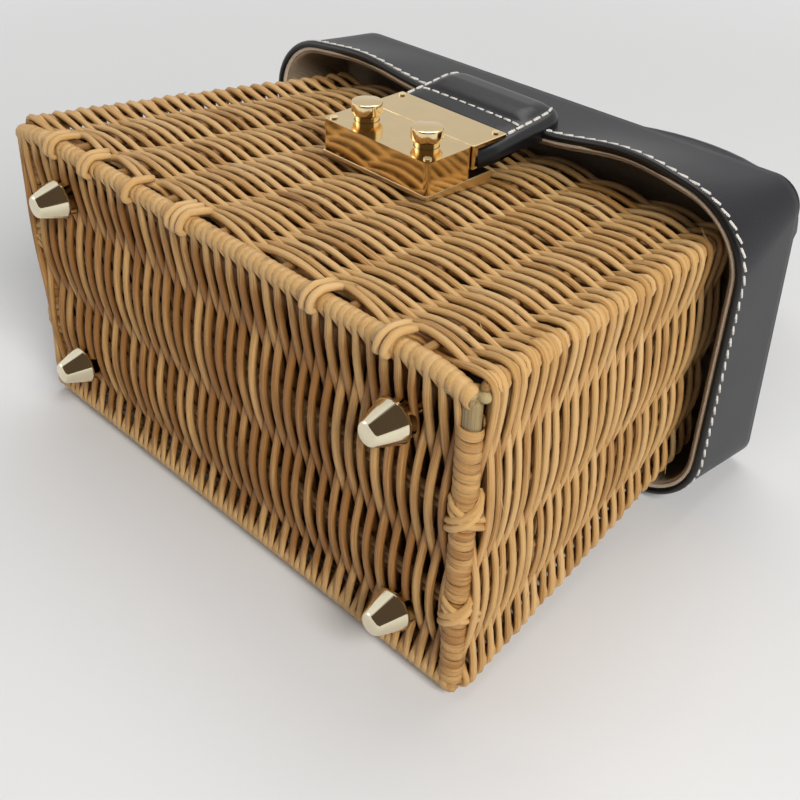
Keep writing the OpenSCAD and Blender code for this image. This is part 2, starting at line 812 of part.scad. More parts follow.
weave_front();
weave_back();
weave_left();
weave_right();
weave_base();
edge_rod_front();
edge_rod_back();
edge_rod_left();
edge_rod_right();
edge_bindings();
face_stakes_set();
end_stakes_set();
corner_stakes();
base_stakes();
border_rod();
cloth_lining();
hinge_strip();
hinge_rivets();
foot_front_left();
foot_front_right();
foot_back_left();
foot_back_right();
foot_screws();
foot_washers();
lock_base_plate();
lock_case();
case_rivets();
spring_left();
spring_right();
button_left();
button_right();
hasp_plate();
hasp_tongue();
hasp_rivets();
lock_tab();
lid_skirt();
lid_top();
rim_piping();
lid_lining();
handle_grip();
handle_base_left();
handle_base_right();
handle_studs();
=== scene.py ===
import math
import random

import bmesh
import bpy
from mathutils import Matrix, Vector, noise


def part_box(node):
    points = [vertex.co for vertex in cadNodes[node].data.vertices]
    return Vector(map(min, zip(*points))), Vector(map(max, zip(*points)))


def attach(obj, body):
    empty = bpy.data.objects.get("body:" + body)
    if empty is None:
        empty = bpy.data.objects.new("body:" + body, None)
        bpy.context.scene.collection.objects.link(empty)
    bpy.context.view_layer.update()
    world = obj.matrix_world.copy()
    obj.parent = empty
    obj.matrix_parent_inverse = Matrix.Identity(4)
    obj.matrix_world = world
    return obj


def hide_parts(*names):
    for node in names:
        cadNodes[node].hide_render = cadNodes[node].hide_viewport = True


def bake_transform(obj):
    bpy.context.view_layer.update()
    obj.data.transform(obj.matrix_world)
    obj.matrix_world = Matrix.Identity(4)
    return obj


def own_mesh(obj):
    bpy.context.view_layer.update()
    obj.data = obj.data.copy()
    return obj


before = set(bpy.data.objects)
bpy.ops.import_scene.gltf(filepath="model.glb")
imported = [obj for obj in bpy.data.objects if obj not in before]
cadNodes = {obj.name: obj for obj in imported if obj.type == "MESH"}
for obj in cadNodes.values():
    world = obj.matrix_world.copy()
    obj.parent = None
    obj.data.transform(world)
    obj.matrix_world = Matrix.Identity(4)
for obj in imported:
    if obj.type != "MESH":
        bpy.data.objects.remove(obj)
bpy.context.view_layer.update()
mm = 0.001
footSink = 0.45  # mm, how deep a foot sits in the base weave
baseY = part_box("foot_front_left")[1].y - footSink * mm  # the basket's base plane in the shared frame
noiseRange = (0, 900)  # places in the noise from which a strand may start
print("frame loaded,", len(cadNodes), "nodes")


def at(x, y, z):
    return Vector((x * mm, baseY + y * mm, z * mm))


def spread(value, knots):  # straight-line reading of a short table of pairs
    for (a, fa), (b, fb) in zip(knots, knots[1:]):
        if value <= b:
            return fa + (fb - fa) * (value - a) / (b - a)
    return knots[-1][1]


def bell(value, middle, width):
    return math.exp(-((value - middle) / width) ** 2)


# camera

viewpoint = dict(turn=44.402, height=35.949, roll=2.035, lens=51.95, sensor=36, near=0.01,
                 spot=(226.49, -154.42, 245.03))


def placeCamera(v):
    turn, height, roll = (math.radians(v[k]) for k in ("turn", "height", "roll"))
    flat = math.cos(height)
    back = Vector((math.sin(turn) * flat, -math.cos(turn) * flat, math.sin(height)))
    side = (-back).cross(Vector((0, 0, 1))).normalized()
    up = side.cross(-back)
    side, up = side * math.cos(roll) + up * math.sin(roll), up * math.cos(roll) - side * math.sin(roll)
    place = Matrix((side, up, back)).transposed().to_4x4()
    place.translation = at(*v["spot"])
    camera = bpy.data.objects.new("photoCamera", bpy.data.cameras.new("photoCamera"))
    bpy.context.scene.collection.objects.link(camera)
    camera.data.lens = v["lens"]
    camera.data.sensor_width = v["sensor"]
    camera.data.clip_start = v["near"]
    camera.matrix_world = place
    bpy.context.scene.camera = camera


placeCamera(viewpoint)
print("camera placed")


# finishes

def newFinish(name):
    finish = bpy.data.materials.new(name)
    finish.use_nodes = True
    tree = finish.node_tree
    return finish, tree, tree.nodes["Principled BSDF"]


def addNode(tree, kind, **values):
    node = tree.nodes.new(kind)
    for key, value in values.items():
        if key in node.inputs:
            node.inputs[key].default_value = value
        else:
            setattr(node, key, value)
    return node


def combine(tree, operation, first, second):
    node = addNode(tree, "ShaderNodeMath", operation=operation)
    tree.links.new(first, node.inputs[0])
    tree.links.new(second, node.inputs[1])
    return node


def addShare(tree, source, share, rest):  # a share of source on top of rest
    node = addNode(tree, "ShaderNodeMath", operation="MULTIPLY_ADD")
    tree.links.new(source, node.inputs[0])
    node.inputs[1].default_value = share
    tree.links.new(rest, node.inputs[2])
    return node


def clouds(tree, where, scale, detail):
    node = addNode(tree, "ShaderNodeTexNoise", Scale=scale, Detail=detail)
    tree.links.new(where.outputs["Object"], node.inputs["Vector"])
    return node


def ramp(tree, source, stops):
    node = tree.nodes.new("ShaderNodeValToRGB")
    band = node.color_ramp
    while len(band.elements) < len(stops):
        band.elements.new(0.5)
    for element, (place, colour) in zip(band.elements, stops):
        element.position = place
        element.color = (*colour, 1)
    tree.links.new(source, node.inputs["Fac"])
    return node


def mapRange(tree, source, low, high):
    node = addNode(tree, "ShaderNodeMapRange")
    node.inputs["To Min"].default_value = low
    node.inputs["To Max"].default_value = high
    tree.links.new(source, node.inputs["Value"])
    return node


def smoothRange(tree, source, start, stop):  # 0 at start, 1 at stop
    node = addNode(tree, "ShaderNodeMapRange", interpolation_type="SMOOTHSTEP")
    node.inputs["From Min"].default_value = start
    node.inputs["From Max"].default_value = stop
    tree.links.new(source, node.inputs["Value"])
    return node


def addRelief(tree, shader, source, depth, strength):  # bump from a height
    node = addNode(tree, "ShaderNodeBump", Strength=strength, Distance=depth)
    tree.links.new(source, node.inputs["Height"])
    tree.links.new(node.outputs["Normal"], shader.inputs["Normal"])
    return node


caneLook = dict(dark=(0.26, 0.110, 0.024), mid=(0.54, 0.318, 0.116), pale=(0.64, 0.425, 0.200),
                rough=(0.32, 0.50))
shadedLook = dict(dark=(0.15, 0.070, 0.020), mid=(0.30, 0.160, 0.055), pale=(0.45, 0.27, 0.10),
                  rough=(0.5, 0.7))
gluedLook = dict(dark=(0.20, 0.135, 0.062), mid=(0.38, 0.285, 0.135), pale=(0.48, 0.385, 0.20),
                 rough=(0.16, 0.28))
caneGrain = dict(
    streak=(0.06, 2.6, 2.6), streakShare=1.5,  # fine grain along the strand
    patch=(0.035, 0.15, 0.15), patchShare=0.5,  # soft darker patches a few centimetres long
    darkest=0.85, palest=2.1, midAt=0.45, shine=0.42, depth=0.3 * mm, strength=0.7,
)


def caneFinish(name, look):
    finish, tree, shader = newFinish(name)
    grain = caneGrain
    # the tone attribute holds each strand's own colour level, and for the wall rows and the base weave also
    # painted shade
    tone = addNode(tree, "ShaderNodeAttribute", attribute_name="tone")
    fibre = addNode(tree, "ShaderNodeAttribute", attribute_name="fibre")
    stretch = addNode(tree, "ShaderNodeMapping", Scale=grain["streak"])
    tree.links.new(fibre.outputs["Vector"], stretch.inputs["Vector"])
    streak = addNode(tree, "ShaderNodeTexNoise", Scale=1.0, Detail=4.0, Roughness=0.65)
    tree.links.new(stretch.outputs["Vector"], streak.inputs["Vector"])
    longer = addNode(tree, "ShaderNodeMapping", Scale=grain["patch"])
    tree.links.new(fibre.outputs["Vector"], longer.inputs["Vector"])
    patch = addNode(tree, "ShaderNodeTexNoise", Scale=1.0, Detail=2.0, Roughness=0.5)
    tree.links.new(longer.outputs["Vector"], patch.inputs["Vector"])
    streaked = addShare(tree, streak.outputs["Fac"], grain["streakShare"], tone.outputs["Fac"])
    patched = addShare(tree, patch.outputs["Fac"], grain["patchShare"], streaked.outputs["Value"])
    level = addNode(tree, "ShaderNodeMapRange")
    level.inputs["From Min"].default_value = grain["darkest"]
    level.inputs["From Max"].default_value = grain["palest"]
    tree.links.new(patched.outputs["Value"], level.inputs["Value"])
    stops = [(0.0, look["dark"]), (grain["midAt"], look["mid"]), (1.0, look["pale"])]
    colour = ramp(tree, level.outputs["Result"], stops)
    tree.links.new(colour.outputs["Color"], shader.inputs["Base Color"])
    rough = mapRange(tree, streak.outputs["Fac"], *look["rough"])
    tree.links.new(rough.outputs["Result"], shader.inputs["Roughness"])
    shader.inputs["Specular IOR Level"].default_value = grain["shine"]
    addRelief(tree, shader, streak.outputs["Fac"], grain["depth"], grain["strength"])
    return finish


hide = dict(grain=1500.0, cloud=45.0, finer=2.2, poreShare=0.5, deep=0.8, light=1.2, uneven=0.06,
            shine=0.35, coatRough=0.35, strength=0.35)


def leatherFinish(name, base, rough, depth, coat, grain=hide["grain"]):
    finish, tree, shader = newFinish(name)
    where = addNode(tree, "ShaderNodeTexCoord")
    cells = addNode(tree, "ShaderNodeTexVoronoi", Scale=grain, feature="F1")
    tree.links.new(where.outputs["Object"], cells.inputs["Vector"])
    cloud = clouds(tree, where, hide["cloud"], 3.0)
    pores = clouds(tree, where, grain * hide["finer"], 2.0)
    height = addShare(tree, pores.outputs["Fac"], hide["poreShare"], cells.outputs["Distance"])
    deep, light = (tuple(c * hide[k] for c in base) for k in ("deep", "light"))
    colour = ramp(tree, cloud.outputs["Fac"], [(0.3, deep), (0.7, light)])
    tree.links.new(colour.outputs["Color"], shader.inputs["Base Color"])
    softness = mapRange(tree, cloud.outputs["Fac"], rough - hide["uneven"], rough + hide["uneven"])
    tree.links.new(softness.outputs["Result"], shader.inputs["Roughness"])
    shader.inputs["Specular IOR Level"].default_value = hide["shine"]
    shader.inputs["Coat Weight"].default_value = coat
    shader.inputs["Coat Roughness"].default_value = hide["coatRough"]
    addRelief(tree, shader, height.outputs["Value"], depth, hide["strength"])
    return finish


plating = dict(wear=160.0, smooth=0.7, worn=1.5, wearAndShade=0.95, dents=60.0, depth=0.05 * mm, strength=0.25)


def metalFinish(name, colour, rough):
    finish, tree, shader = newFinish(name)
    where = addNode(tree, "ShaderNodeTexCoord")
    wear = clouds(tree, where, plating["wear"], 4.0)
    handled = mapRange(tree, wear.outputs["Fac"], rough * plating["smooth"], rough * plating["worn"])
    tree.links.new(handled.outputs["Result"], shader.inputs["Roughness"])
    # a darker tint where the plating is worn
    wearAndShade = tuple(c * plating["wearAndShade"] for c in colour)
    tint = ramp(tree, wear.outputs["Fac"], [(0.3, wearAndShade), (0.7, colour)])
    tree.links.new(tint.outputs["Color"], shader.inputs["Base Color"])
    shader.inputs["Metallic"].default_value = 1.0
    dents = clouds(tree, where, plating["dents"], 1.0)
    addRelief(tree, shader, dents.outputs["Fac"], plating["depth"], plating["strength"])
    return finish


fabric = dict(waver=0.6, fuzz=4, deep=0.7, light=1.2, shine=0.2, depth=0.3 * mm, strength=0.6)


def clothFinish(name, colour, threads, rough=0.9):
    finish, tree, shader = newFinish(name)
    where = addNode(tree, "ShaderNodeTexCoord")
    across, along = (
        addNode(tree, "ShaderNodeTexWave", Scale=threads, Distortion=fabric["waver"], bands_direction=way)
        for way in ("X", "Y"))
    fuzz = addNode(tree, "ShaderNodeTexNoise", Scale=threads * fabric["fuzz"], Detail=3.0)
    for node in (across, along, fuzz):
        tree.links.new(where.outputs["Object"], node.inputs["Vector"])
    cross = combine(tree, "MULTIPLY", across.outputs["Fac"], along.outputs["Fac"])
    mixed = combine(tree, "ADD", cross.outputs["Value"], fuzz.outputs["Fac"])
    deep = tuple(c * fabric["deep"] for c in colour)
    light = tuple(min(1, c * fabric["light"]) for c in colour)
    shade = ramp(tree, mixed.outputs["Value"], [(0.2, deep), (1.0, light)])
    tree.links.new(shade.outputs["Color"], shader.inputs["Base Color"])
    shader.inputs["Roughness"].default_value = rough
    shader.inputs["Specular IOR Level"].default_value = fabric["shine"]
    addRelief(tree, shader, mixed.outputs["Value"], fabric["depth"], fabric["strength"])
    return finish


cane = caneFinish("honeyCane", caneLook)
darkCane = caneFinish("shadedCane", shadedLook)
cutCane = caneFinish("gluedCane", gluedLook)
leather = leatherFinish("charcoalLeather", (0.0105, 0.0100, 0.0128), 0.43, 0.10 * mm, 0.06)
tabLeather = leatherFinish("paddedLeather", (0.0075, 0.0075, 0.0085), 0.31, 0.08 * mm, 0.12)
edgePaint = leatherFinish("blackEdgePaint", (0.008, 0.008, 0.008), 0.36, 0.04 * mm, 0.1, 500.0)
gold = metalFinish("paleGoldPlate", (0.94, 0.73, 0.41), 0.11)
brushedGold = metalFinish("brushedGold", (0.94, 0.76, 0.46), 0.34)
footGold = metalFinish("champagneGold", (0.85, 0.77, 0.56), 0.09)
liningCloth = clothFinish("darkLiningCloth", (0.040, 0.022, 0.012), 900.0)
felt = clothFinish("beigeFelt", (0.64, 0.53, 0.41), 700.0)
lidCloth = clothFinish("shadedFelt", (0.32, 0.245, 0.17), 700.0)
thread = clothFinish("paleThread", (0.78, 0.74, 0.68), 1600.0, 0.7)
print("finishes made")


# making pieces

def finishPiece(obj, body, slotName, *covers):
    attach(obj, body)
    if covers:
        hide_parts(*covers)
    return obj


def meshObject(name, bm, finish, sharp=40):
    mesh = bpy.data.meshes.new(name)
    bm.to_mesh(mesh)
    bm.free()
    mesh.materials.append(finish)
    mesh.shade_smooth()
    mesh.set_sharp_from_angle(angle=math.radians(sharp))
    obj = bpy.data.objects.new(name, mesh)
    bpy.context.scene.collection.objects.link(obj)
    return obj


strandMaking = dict(grainShift=61.7, merge=0.03 * mm, sharp=75, tip=0.004, tipShare=0.15, shoulder=0.075)


# strands are (points, radii, tone, closed), all in mm; tone is one value or a list
def strandObject(name, strands, finish, ringStep=2, press=None):
    paths = bpy.data.curves.new(name + "Paths", "CURVE")
    paths.dimensions = "3D"
    paths.bevel_depth = mm
    paths.bevel_resolution = ringStep
    for points, radii, tone, closed in strands:
        line = paths.splines.new("POLY")
        line.points.add(len(points) - 1)
        for spot, point, radius in zip(line.points, points, radii):
            spot.co = (*at(*point), 1)
            spot.radius = radius
        line.use_cyclic_u = closed
    holder = bpy.data.objects.new(name + "Paths", paths)
    bpy.context.scene.collection.objects.link(holder)
    mesh = bpy.data.meshes.new_from_object(holder.evaluated_get(bpy.context.evaluated_depsgraph_get()))
    bpy.data.objects.remove(holder)
    bpy.data.curves.remove(paths)
    sides = 4 + 2 * ringStep
    tones, fibres = [], []
    for number, (points, radii, tone, closed) in enumerate(strands):
        run = number * strandMaking["grainShift"]  # no two strands show the same grain
        for i, point in enumerate(points):
            if i:
                run += math.dist(point, points[i - 1])
            own = tone[i] if isinstance(tone, list) else tone
            for k in range(sides):
                turn = 2 * math.pi * k / sides
                tones.append(own)
                fibres += (run, radii[i] * math.cos(turn), radii[i] * math.sin(turn))
    if len(mesh.vertices) != len(tones):
        raise ValueError(f"{name}: {len(mesh.vertices)} points, {len(tones)} expected")
    mesh.attributes.new("tone", "FLOAT", "POINT").data.foreach_set("value", tones)
    mesh.attributes.new("fibre", "FLOAT_VECTOR", "POINT").data.foreach_set("vector", fibres)
    bm = bmesh.new()
    bm.from_mesh(mesh)
    bpy.data.meshes.remove(mesh)
    if press:
        for v in bm.verts:
            v.co = press(v.co)
    bmesh.ops.remove_doubles(bm, verts=bm.verts, dist=strandMaking["merge"])  # closes the tapered ends
    bmesh.ops.recalc_face_normals(bm, faces=bm.faces)
    return meshObject(name, bm, finish, strandMaking["sharp"])


def tapered(points, radius):  # a short strand with closed, rounded ends
    near, tip = strandMaking["tipShare"], strandMaking["tip"]
    first = [a + (b - a) * near for a, b in zip(points[0], points[1])]
    last = [a + (b - a) * near for a, b in zip(points[-1], points[-2])]
    ends = [points[0], first] + list(points[1:-1]) + [last, points[-1]]
    shoulder = radius * (1 - strandMaking["shoulder"])
    return ends, [tip, shoulder] + [radius] * (len(ends) - 4) + [shoulder, tip]


cadCopy = dict(merge=0.002 * mm, flat=1, sharp=35, segments=2)


def mergedCopy(node):  # a CAD solid's triangles, joined up
    bm = bmesh.new()
    bm.from_mesh(cadNodes[node].data)
    bmesh.ops.remove_doubles(bm, verts=bm.verts, dist=cadCopy["merge"])
    return bm


def edgedCopy(node, finish, width, body, slotName):  # a CAD solid with its edges broken for the light
    bm = mergedCopy(node)
    flat = math.radians(cadCopy["flat"])
    bmesh.ops.dissolve_limit(bm, angle_limit=flat, verts=bm.verts, edges=bm.edges)
    obj = meshObject(node + "Polished", bm, finish, cadCopy["sharp"])
    edge = obj.modifiers.new("edge", "BEVEL")
    edge.width = width * mm
    edge.segments = cadCopy["segments"]
    edge.limit_method = "ANGLE"
    edge.angle_limit = math.radians(cadCopy["sharp"])
    edge.harden_normals = True
    return finishPiece(obj, body, slotName, node)


# basket weave

basket = dict(
    halfW=100, halfD=52, midZ=52, leanW=0.11864, leanD=0.08898,  # wall outline at the base and its lean
    lowY=6.4, highY=127.0, pitchLow=3.95, pitchHigh=5.55, pitchFrom=10, pitchOver=108,  # pitch of two rows
    strand=0.985, strandMore=0.03, swing=1.8, inset=2.95, shade=0.6, steps=9, seed=11,
    cornerR=1.9, cornerReach=4.6, startShares=(0, 0.03, 0.07, 0.12), endShares=(0.88, 0.93, 0.97),
    faceStakes=(-70, -47, -23.5, 1.5, 27, 52.5, 77.5), endStakes=(62, 32.5), stakeSeed=3,
    stake=1.2, cornerStake=1.75, stakeY=(3.5, 20, 40, 60, 80, 100, 124), stakeTone=(0.1, 0.5),
)
rowLook = dict(
    shift=(-0.25, 0.25), size=(0.92, 1.08), swing=(0.88, 1.08), tone=(0.2, 0.75),  # drawn for each row
    wave=0.9, corner=0.85, cornerWave=0.14, wander=0.035, outWander=0.10, upWander=0.5, liftFall=0.38,
    jointShare=0.03, joint=1.12, thick=0.96, thickWave=0.07, cloud=0.02, cloudAt=40, cloudShare=0.35,
)
bundles = dict(
    places=((-75, 2), (-56.5, 2), (-34.5, 1), (-11.5, 3), (43, 2), (69, 2)),  # middle and count of strands
    gap=2.7, drift=1.6, fan=0.12, splay=0.25, strand=1.1, reach=3.95, uneven=0.15, steps=10,
    firstTurn=-48, turnStep=16, startShares=(0.72, 0.9, 1), tail=4.4, tailMore=(-0.6, 1.0), tailDip=0.5,
    size=(0.92, 1.06), tone=(0.5, 0.85), seed=9,
    lift=3.2, liftFrom=3, liftOver=21, liftRise=4,  # how the wall rows ride up beside a bundle
)
rods = dict(
    y=3.5, frontZ=99.6, backZ=4.4, endX=93.5, endY=4.3, leftX=-95.6, leftY=5.6, core=1.8, coreTone=0.2,
    wrap=1.75, round=2.4, endRound=3.0, endPitch=3.0, bareFrom=91.0, leftMore=5.5, wrapFromZ=3.2,
    fromX=-98.5, length=192, endFromZ=6, endLength=84, leftLength=91,
    stakeZ=(62.5, 32), stakeR=1.3, stakeX=94, stakeTone=0.35,
    sinkFrom=80, sinkLeft=(18, 2.5), sinkRight=(14, 2.2),  # over which length the front rod sinks, how deep
    flat=0.26, flatTo=1.8, flatOver=2, nearest=0.5, furthest=4.4, endFurthest=6,  # wraps pulled flat
)
baseWeave = dict(
    first=-99.2, last=93.0, pitchLeft=2.68, pitchRight=2.32, midY=4.3, swing=2.5, strand=1.14,
    tone=(0.2, 0.75), size=(0.9, 1.08), slant=(-0.6, 0.6), seed=5,
    leftX=-91, leftOver=4, leftDrop=2.4, leftFlat=0.8,  # the strands at the left end lie over the end rod
    wrapTurns=(205, 170, 135, 100, 65, 30, -5, -35), tuck=0.6, wrapSlant=0.3, besideWraps=(1.55, 1.35, 1.15),
    beside=4.5, margin=13.5, steps=26, sideWander=0.55, upWander=0.08, tip=0.3,
    wander=(0.05, 0.03), slantWave=0.05,
    # painted shade: the base strands between the rods are darker, more where they lie deeper inside
    shade=0.34, wearAndShade=0.5, shadeFrom=8, shadeTo=95, rodTone=0.35, cloud=0.03, cloudShare=0.3,
    knots=((4.5, 3), (16.75, 2.5), (32, 2), (46.75, 1.5), (62.5, 1), (78.6, 0.5), (99.5, 0)),
)


def wallSize(y):
    return basket["halfW"] - basket["leanW"] * y, basket["halfD"] - basket["leanD"] * y


def wallPoint(side, c, along, out, radius):  # point and outward direction on one side of the rounded mouth
    flat = along - radius
    if abs(c) <= flat:
        local, facing = (c, out), (0.0, 1.0)
    else:
        turn = (abs(c) - flat) / radius
        s, k = math.sin(turn), math.cos(turn)
        sign = 1 if c > 0 else -1
        local, facing = (sign * (flat + radius * s), out - radius + radius * k), (sign * s, k)
    spin = {"front": lambda p: (p[0], p[1]), "right": lambda p: (p[1], -p[0]),
            "back": lambda p: (-p[0], -p[1]), "left": lambda p: (-p[1], p[0])}[side]
    return spin(local), spin(facing)


def wallKnots(side, along, radius, y):
    halfW, halfD = wallSize(y)
    reach = along - radius + math.pi * radius / 4
    if side in ("front", "back"):
        stakes = [s * halfW / basket["halfW"] for s in basket["faceStakes"]]
        if side == "back":
            stakes = [-s for s in reversed(stakes)]
    else:
        stakes = [-(s - basket["midZ"]) * halfD / basket["halfD"] for s in basket["endStakes"]]
        if side == "left":
            stakes = [-s for s in reversed(stakes)]
    return [-reach] + stakes + [reach]


# the whole way round at one height: place, facing, stakes passed, side, distance from the corner
def wallStations(y, steps):
    halfW, halfD = wallSize(y)
    a, b, radius = halfW - basket["inset"], halfD - basket["inset"], basket["cornerR"]
    stations, passed = [], 0
    for side in ("front", "right", "back", "left"):
        along, out = (a, b) if side in ("front", "back") else (b, a)
        knots = wallKnots(side, along, radius, y)
        for number, (start, stop) in enumerate(zip(knots, knots[1:])):
            shares = [i / steps for i in range(steps)]
            if number == 0:  # closer points round the corner
                shares = list(basket["startShares"]) + shares[2:]
            elif number == len(knots) - 2:
                shares = shares[:-1] + list(basket["endShares"])
            for share in shares:
                c = start + (stop - start) * share
                place, facing = wallPoint(side, c, along, out, radius)
                stations.append((place, facing, passed + share, side, knots[-1] - abs(c)))
            passed += 1
    return stations


def bundleLift(x):  # the first rows ride up beside a bundle and sink back to the rod
    best = 0
    for place, count in bundles["places"]:
        past = x - place - bundles["liftFrom"]
        if past > 0:
            ride = max(1 - past / bundles["liftOver"], 0)
        else:
            ride = bell(past, 0, bundles["liftRise"])
        best = max(best, ride)
    return best


def wallRows():
    chance = random.Random(basket["seed"])
    look = rowLook
    low, high = basket["pitchLow"], basket["pitchHigh"]
    strands, y, row = [], basket["lowY"], 0
    while y < basket["highY"]:
        points, radii, tones = [], [], []
        pitch = low + (high - low) * (y - basket["pitchFrom"]) / basket["pitchOver"]
        shift, size, swing, tone = (chance.uniform(*look[k]) for k in ("shift", "size", "swing", "tone"))
        seed = chance.uniform(*noiseRange)
        for (x, z), (nx, nz), passed, side, fromCorner in wallStations(y, basket["steps"]):
            wave = math.cos(math.pi * (passed + row))
            wave = math.copysign(abs(wave) ** look["wave"], wave)
            atCorner = look["corner"] + look["cornerWave"] * wave  # every row passes outside a corner stake
            wave += (atCorner - wave) * bell(fromCorner, 0, basket["cornerReach"])
            wander = noise.noise(Vector((x * look["wander"], z * look["wander"], seed)))
            out = basket["swing"] * swing * (wave + look["outWander"] * wander)
            lift = shift + look["upWander"] * wander
            if side == "front":
                lift += bundles["lift"] * bundleLift(x) * math.exp(-row * look["liftFall"])
            joint = look["joint"] if chance.random() < look["jointShare"] else 1.0  # a joint of the cane
            points.append((x + nx * out, y + lift, basket["midZ"] + z + nz * out))
            thick = basket["strand"] + basket["strandMore"] * (pitch - low)
            radii.append(thick * size * joint * (look["thick"] + look["thickWave"] * wave))
            cloud = noise.noise(Vector((x * look["cloud"], z * look["cloud"], seed + look["cloudAt"])))
            paintedDipShade = basket["shade"] * max(-wave, 0)  # painted shade, darker where it dips inside
            tones.append(tone + look["cloudShare"] * cloud - paintedDipShade)
        strands.append((points, radii, tones, True))
        y += 0.5 * pitch
        row += 1
    return strands


rows = wallRows()
wallWeave = strandObject("wallWeave", rows, cane)
finishPiece(wallWeave, "basket", "cane", "weave_front", "weave_back", "weave_left", "weave_right")
print("wall weave,", len(rows), "rows")


def stakeStrands():
    chance = random.Random(basket["stakeSeed"])
    strands = []
    for side in ("front", "right", "back", "left"):
        sideCount = len(basket["faceStakes"] if side in ("front", "back") else basket["endStakes"])
        for number in range(sideCount + 1):
            points = []
            for y in basket["stakeY"]:
                halfW, halfD = wallSize(y)
                a, b, radius = halfW - basket["inset"], halfD - basket["inset"], basket["cornerR"]
                along, out = (a, b) if side in ("front", "back") else (b, a)
                knot = wallKnots(side, along, radius, y)[number]
                (x, z), facing = wallPoint(side, knot, along, out, radius)
                points.append((x, y, basket["midZ"] + z))
            thick = basket["stake" if number else "cornerStake"]
            strands.append((*tapered(points, thick), chance.uniform(*basket["stakeTone"]), False))
    return strands


wallStakes = strandObject("wallStakes", stakeStrands(), darkCane)
finishPiece(wallStakes, "basket", "cane_dark", "face_stakes_set", "end_stakes_set", "corner_stakes")


def frontRodZ(x):  # the rod sinks a little at both ends
    (leftOver, leftDepth), (rightOver, rightDepth) = rods["sinkLeft"], rods["sinkRight"]
    left = max((-rods["sinkFrom"] - x) / leftOver, 0)
    right = max((x - rods["sinkFrom"]) / rightOver, 0)
    return rods["frontZ"] - leftDepth * left ** 2 - rightDepth * right ** 2


def squeezed(reach, core):  # wraps pulled tight lie flat
    free = min(max((reach - core - rods["flatTo"]) / rods["flatOver"], 0), 1)
    return core + (reach - core) * (rods["flat"] + (1 - rods["flat"]) * free)


def flatOnLongRods(co):
    x = co.x / mm
    for z in (frontRodZ(x), rods["backZ"]):
        middle = at(x, rods["y"], z)
        away = co - middle
        reach = away.length / mm
        if rods["nearest"] < reach < rods["furthest"]:
            return middle + away * squeezed(reach, rods["round"]) / reach
    return co


def rodWrap(x, rodZ, way):  # where a base strand goes round a rod
    wrap = []
    for number, turn in enumerate(baseWeave["wrapTurns"]):
        t = math.radians(turn)
        r = rods["round"] * (1 if number else baseWeave["tuck"])
        wrap.append((x, rods["y"] - r * math.cos(t), rodZ + way * r * math.sin(t)))
    return wrap


def baseTone(point, tone, seed):
    look = baseWeave
    x, y, z = point
    inner = look["shadeFrom"] < z < look["shadeTo"]
    own = tone if inner else look["rodTone"] + look["rodTone"] * tone
    cloud = noise.noise(Vector((seed, z * look["cloud"], 7)))
    # painted shade over the base strands between the rods, deeper where a strand lies further inside
    paintedShade = look["wearAndShade"] + look["shade"] * max(y - look["midY"], 0)
    return own + look["cloudShare"] * cloud - paintedShade * inner


def baseStrands():
    look = baseWeave
    chance = random.Random(look["seed"])
    left, right, half = look["pitchLeft"], look["pitchRight"], basket["halfW"]
    wraps = [rods["wrap"]] * (len(look["wrapTurns"]) - 3) + list(look["besideWraps"])  # wide on the rod
    strands, x, number = [], look["first"], -1
    while x < look["last"]:
        number += 1
        x += left + (right - left) * (x + half) / (2 * half)
        tone, seed = chance.uniform(*look["tone"]), chance.uniform(*noiseRange)
        size, slant = chance.uniform(*look["size"]), chance.uniform(*look["slant"])
        outer = min(max((look["leftX"] - x) / look["leftOver"], 0), 1)
        middleY = look["midY"] - look["leftDrop"] * outer
        swing = look["swing"] * (1 - look["leftFlat"] * outer)
        wrapX, rodZ = x + slant * look["wrapSlant"], frontRodZ(x)
        points = rodWrap(wrapX, rodZ, 1)
        for i in range(1, look["steps"]):
            z = rodZ - look["beside"] - (rodZ - look["margin"]) * i / look["steps"]
            wave = math.cos(math.pi * (spread(z, look["knots"]) + (1 if number % 2 == 0 else 0)))
            wander = noise.noise(Vector((x * look["wander"][0], z * look["wander"][1], seed)))
            side = x + look["sideWander"] * wander + slant * math.sin(z * look["slantWave"])
            points.append((side, middleY - swing * (wave + look["upWander"] * wander), z))
        points += reversed(rodWrap(wrapX, rods["backZ"], -1))
        between = [look["strand"]] * (len(points) - 2 * len(wraps))
        radii = [size * r for r in wraps + between + wraps[::-1]]
        radii[0] = radii[-1] = look["tip"]
        strands.append((points, radii, [baseTone(p, tone, seed) for p in points], False))
    return strands


finishPiece(strandObject("baseWeave", baseStrands(), cane, 2, flatOnLongRods), "basket", "cane", "weave_base")
print("base weave made")


def rodStrands():
    lines = []
    for front in (True, False):
        xs = [rods["fromX"] + rods["length"] * i / 24 for i in range(25)]
        lines.append([(x, rods["y"], frontRodZ(x) if front else rods["backZ"]) for x in xs])
    for x, y, length in ((rods["leftX"], rods["leftY"], rods["leftLength"]),
                         (rods["endX"], rods["endY"], rods["endLength"])):
        lines.append([(x, y, rods["endFromZ"] + length * i / 8) for i in range(9)])
    strands = [(*tapered(line, rods["core"]), rods["coreTone"], False) for line in lines]
    reach = rods["stakeX"]
    for z in rods["stakeZ"]:  # base stakes, side by side
        for off in (-rods["stakeR"], rods["stakeR"]):
            line = [(-reach + 2 * reach * i / 16, baseWeave["midY"], z + off) for i in range(17)]
            strands.append((*tapered(line, rods["stakeR"]), rods["stakeTone"], False))
    return strands


rodCores = strandObject("rodCores", rodStrands(), darkCane)
finishPiece(rodCores, "basket", "cane_dark", "base_stakes", "edge_rod_front", "edge_rod_back")


def flatOnEndRods(co):
    x, y = (rods["endX"], rods["endY"]) if co.x > 0 else (rods["leftX"], rods["leftY"])
    middle = at(x, y, co.z / mm)
    away = co - middle
    reach = away.length / mm
    if rods["nearest"] < reach < rods["endFurthest"]:
        return middle + away * squeezed(reach, rods["endRound"]) / reach
    return co


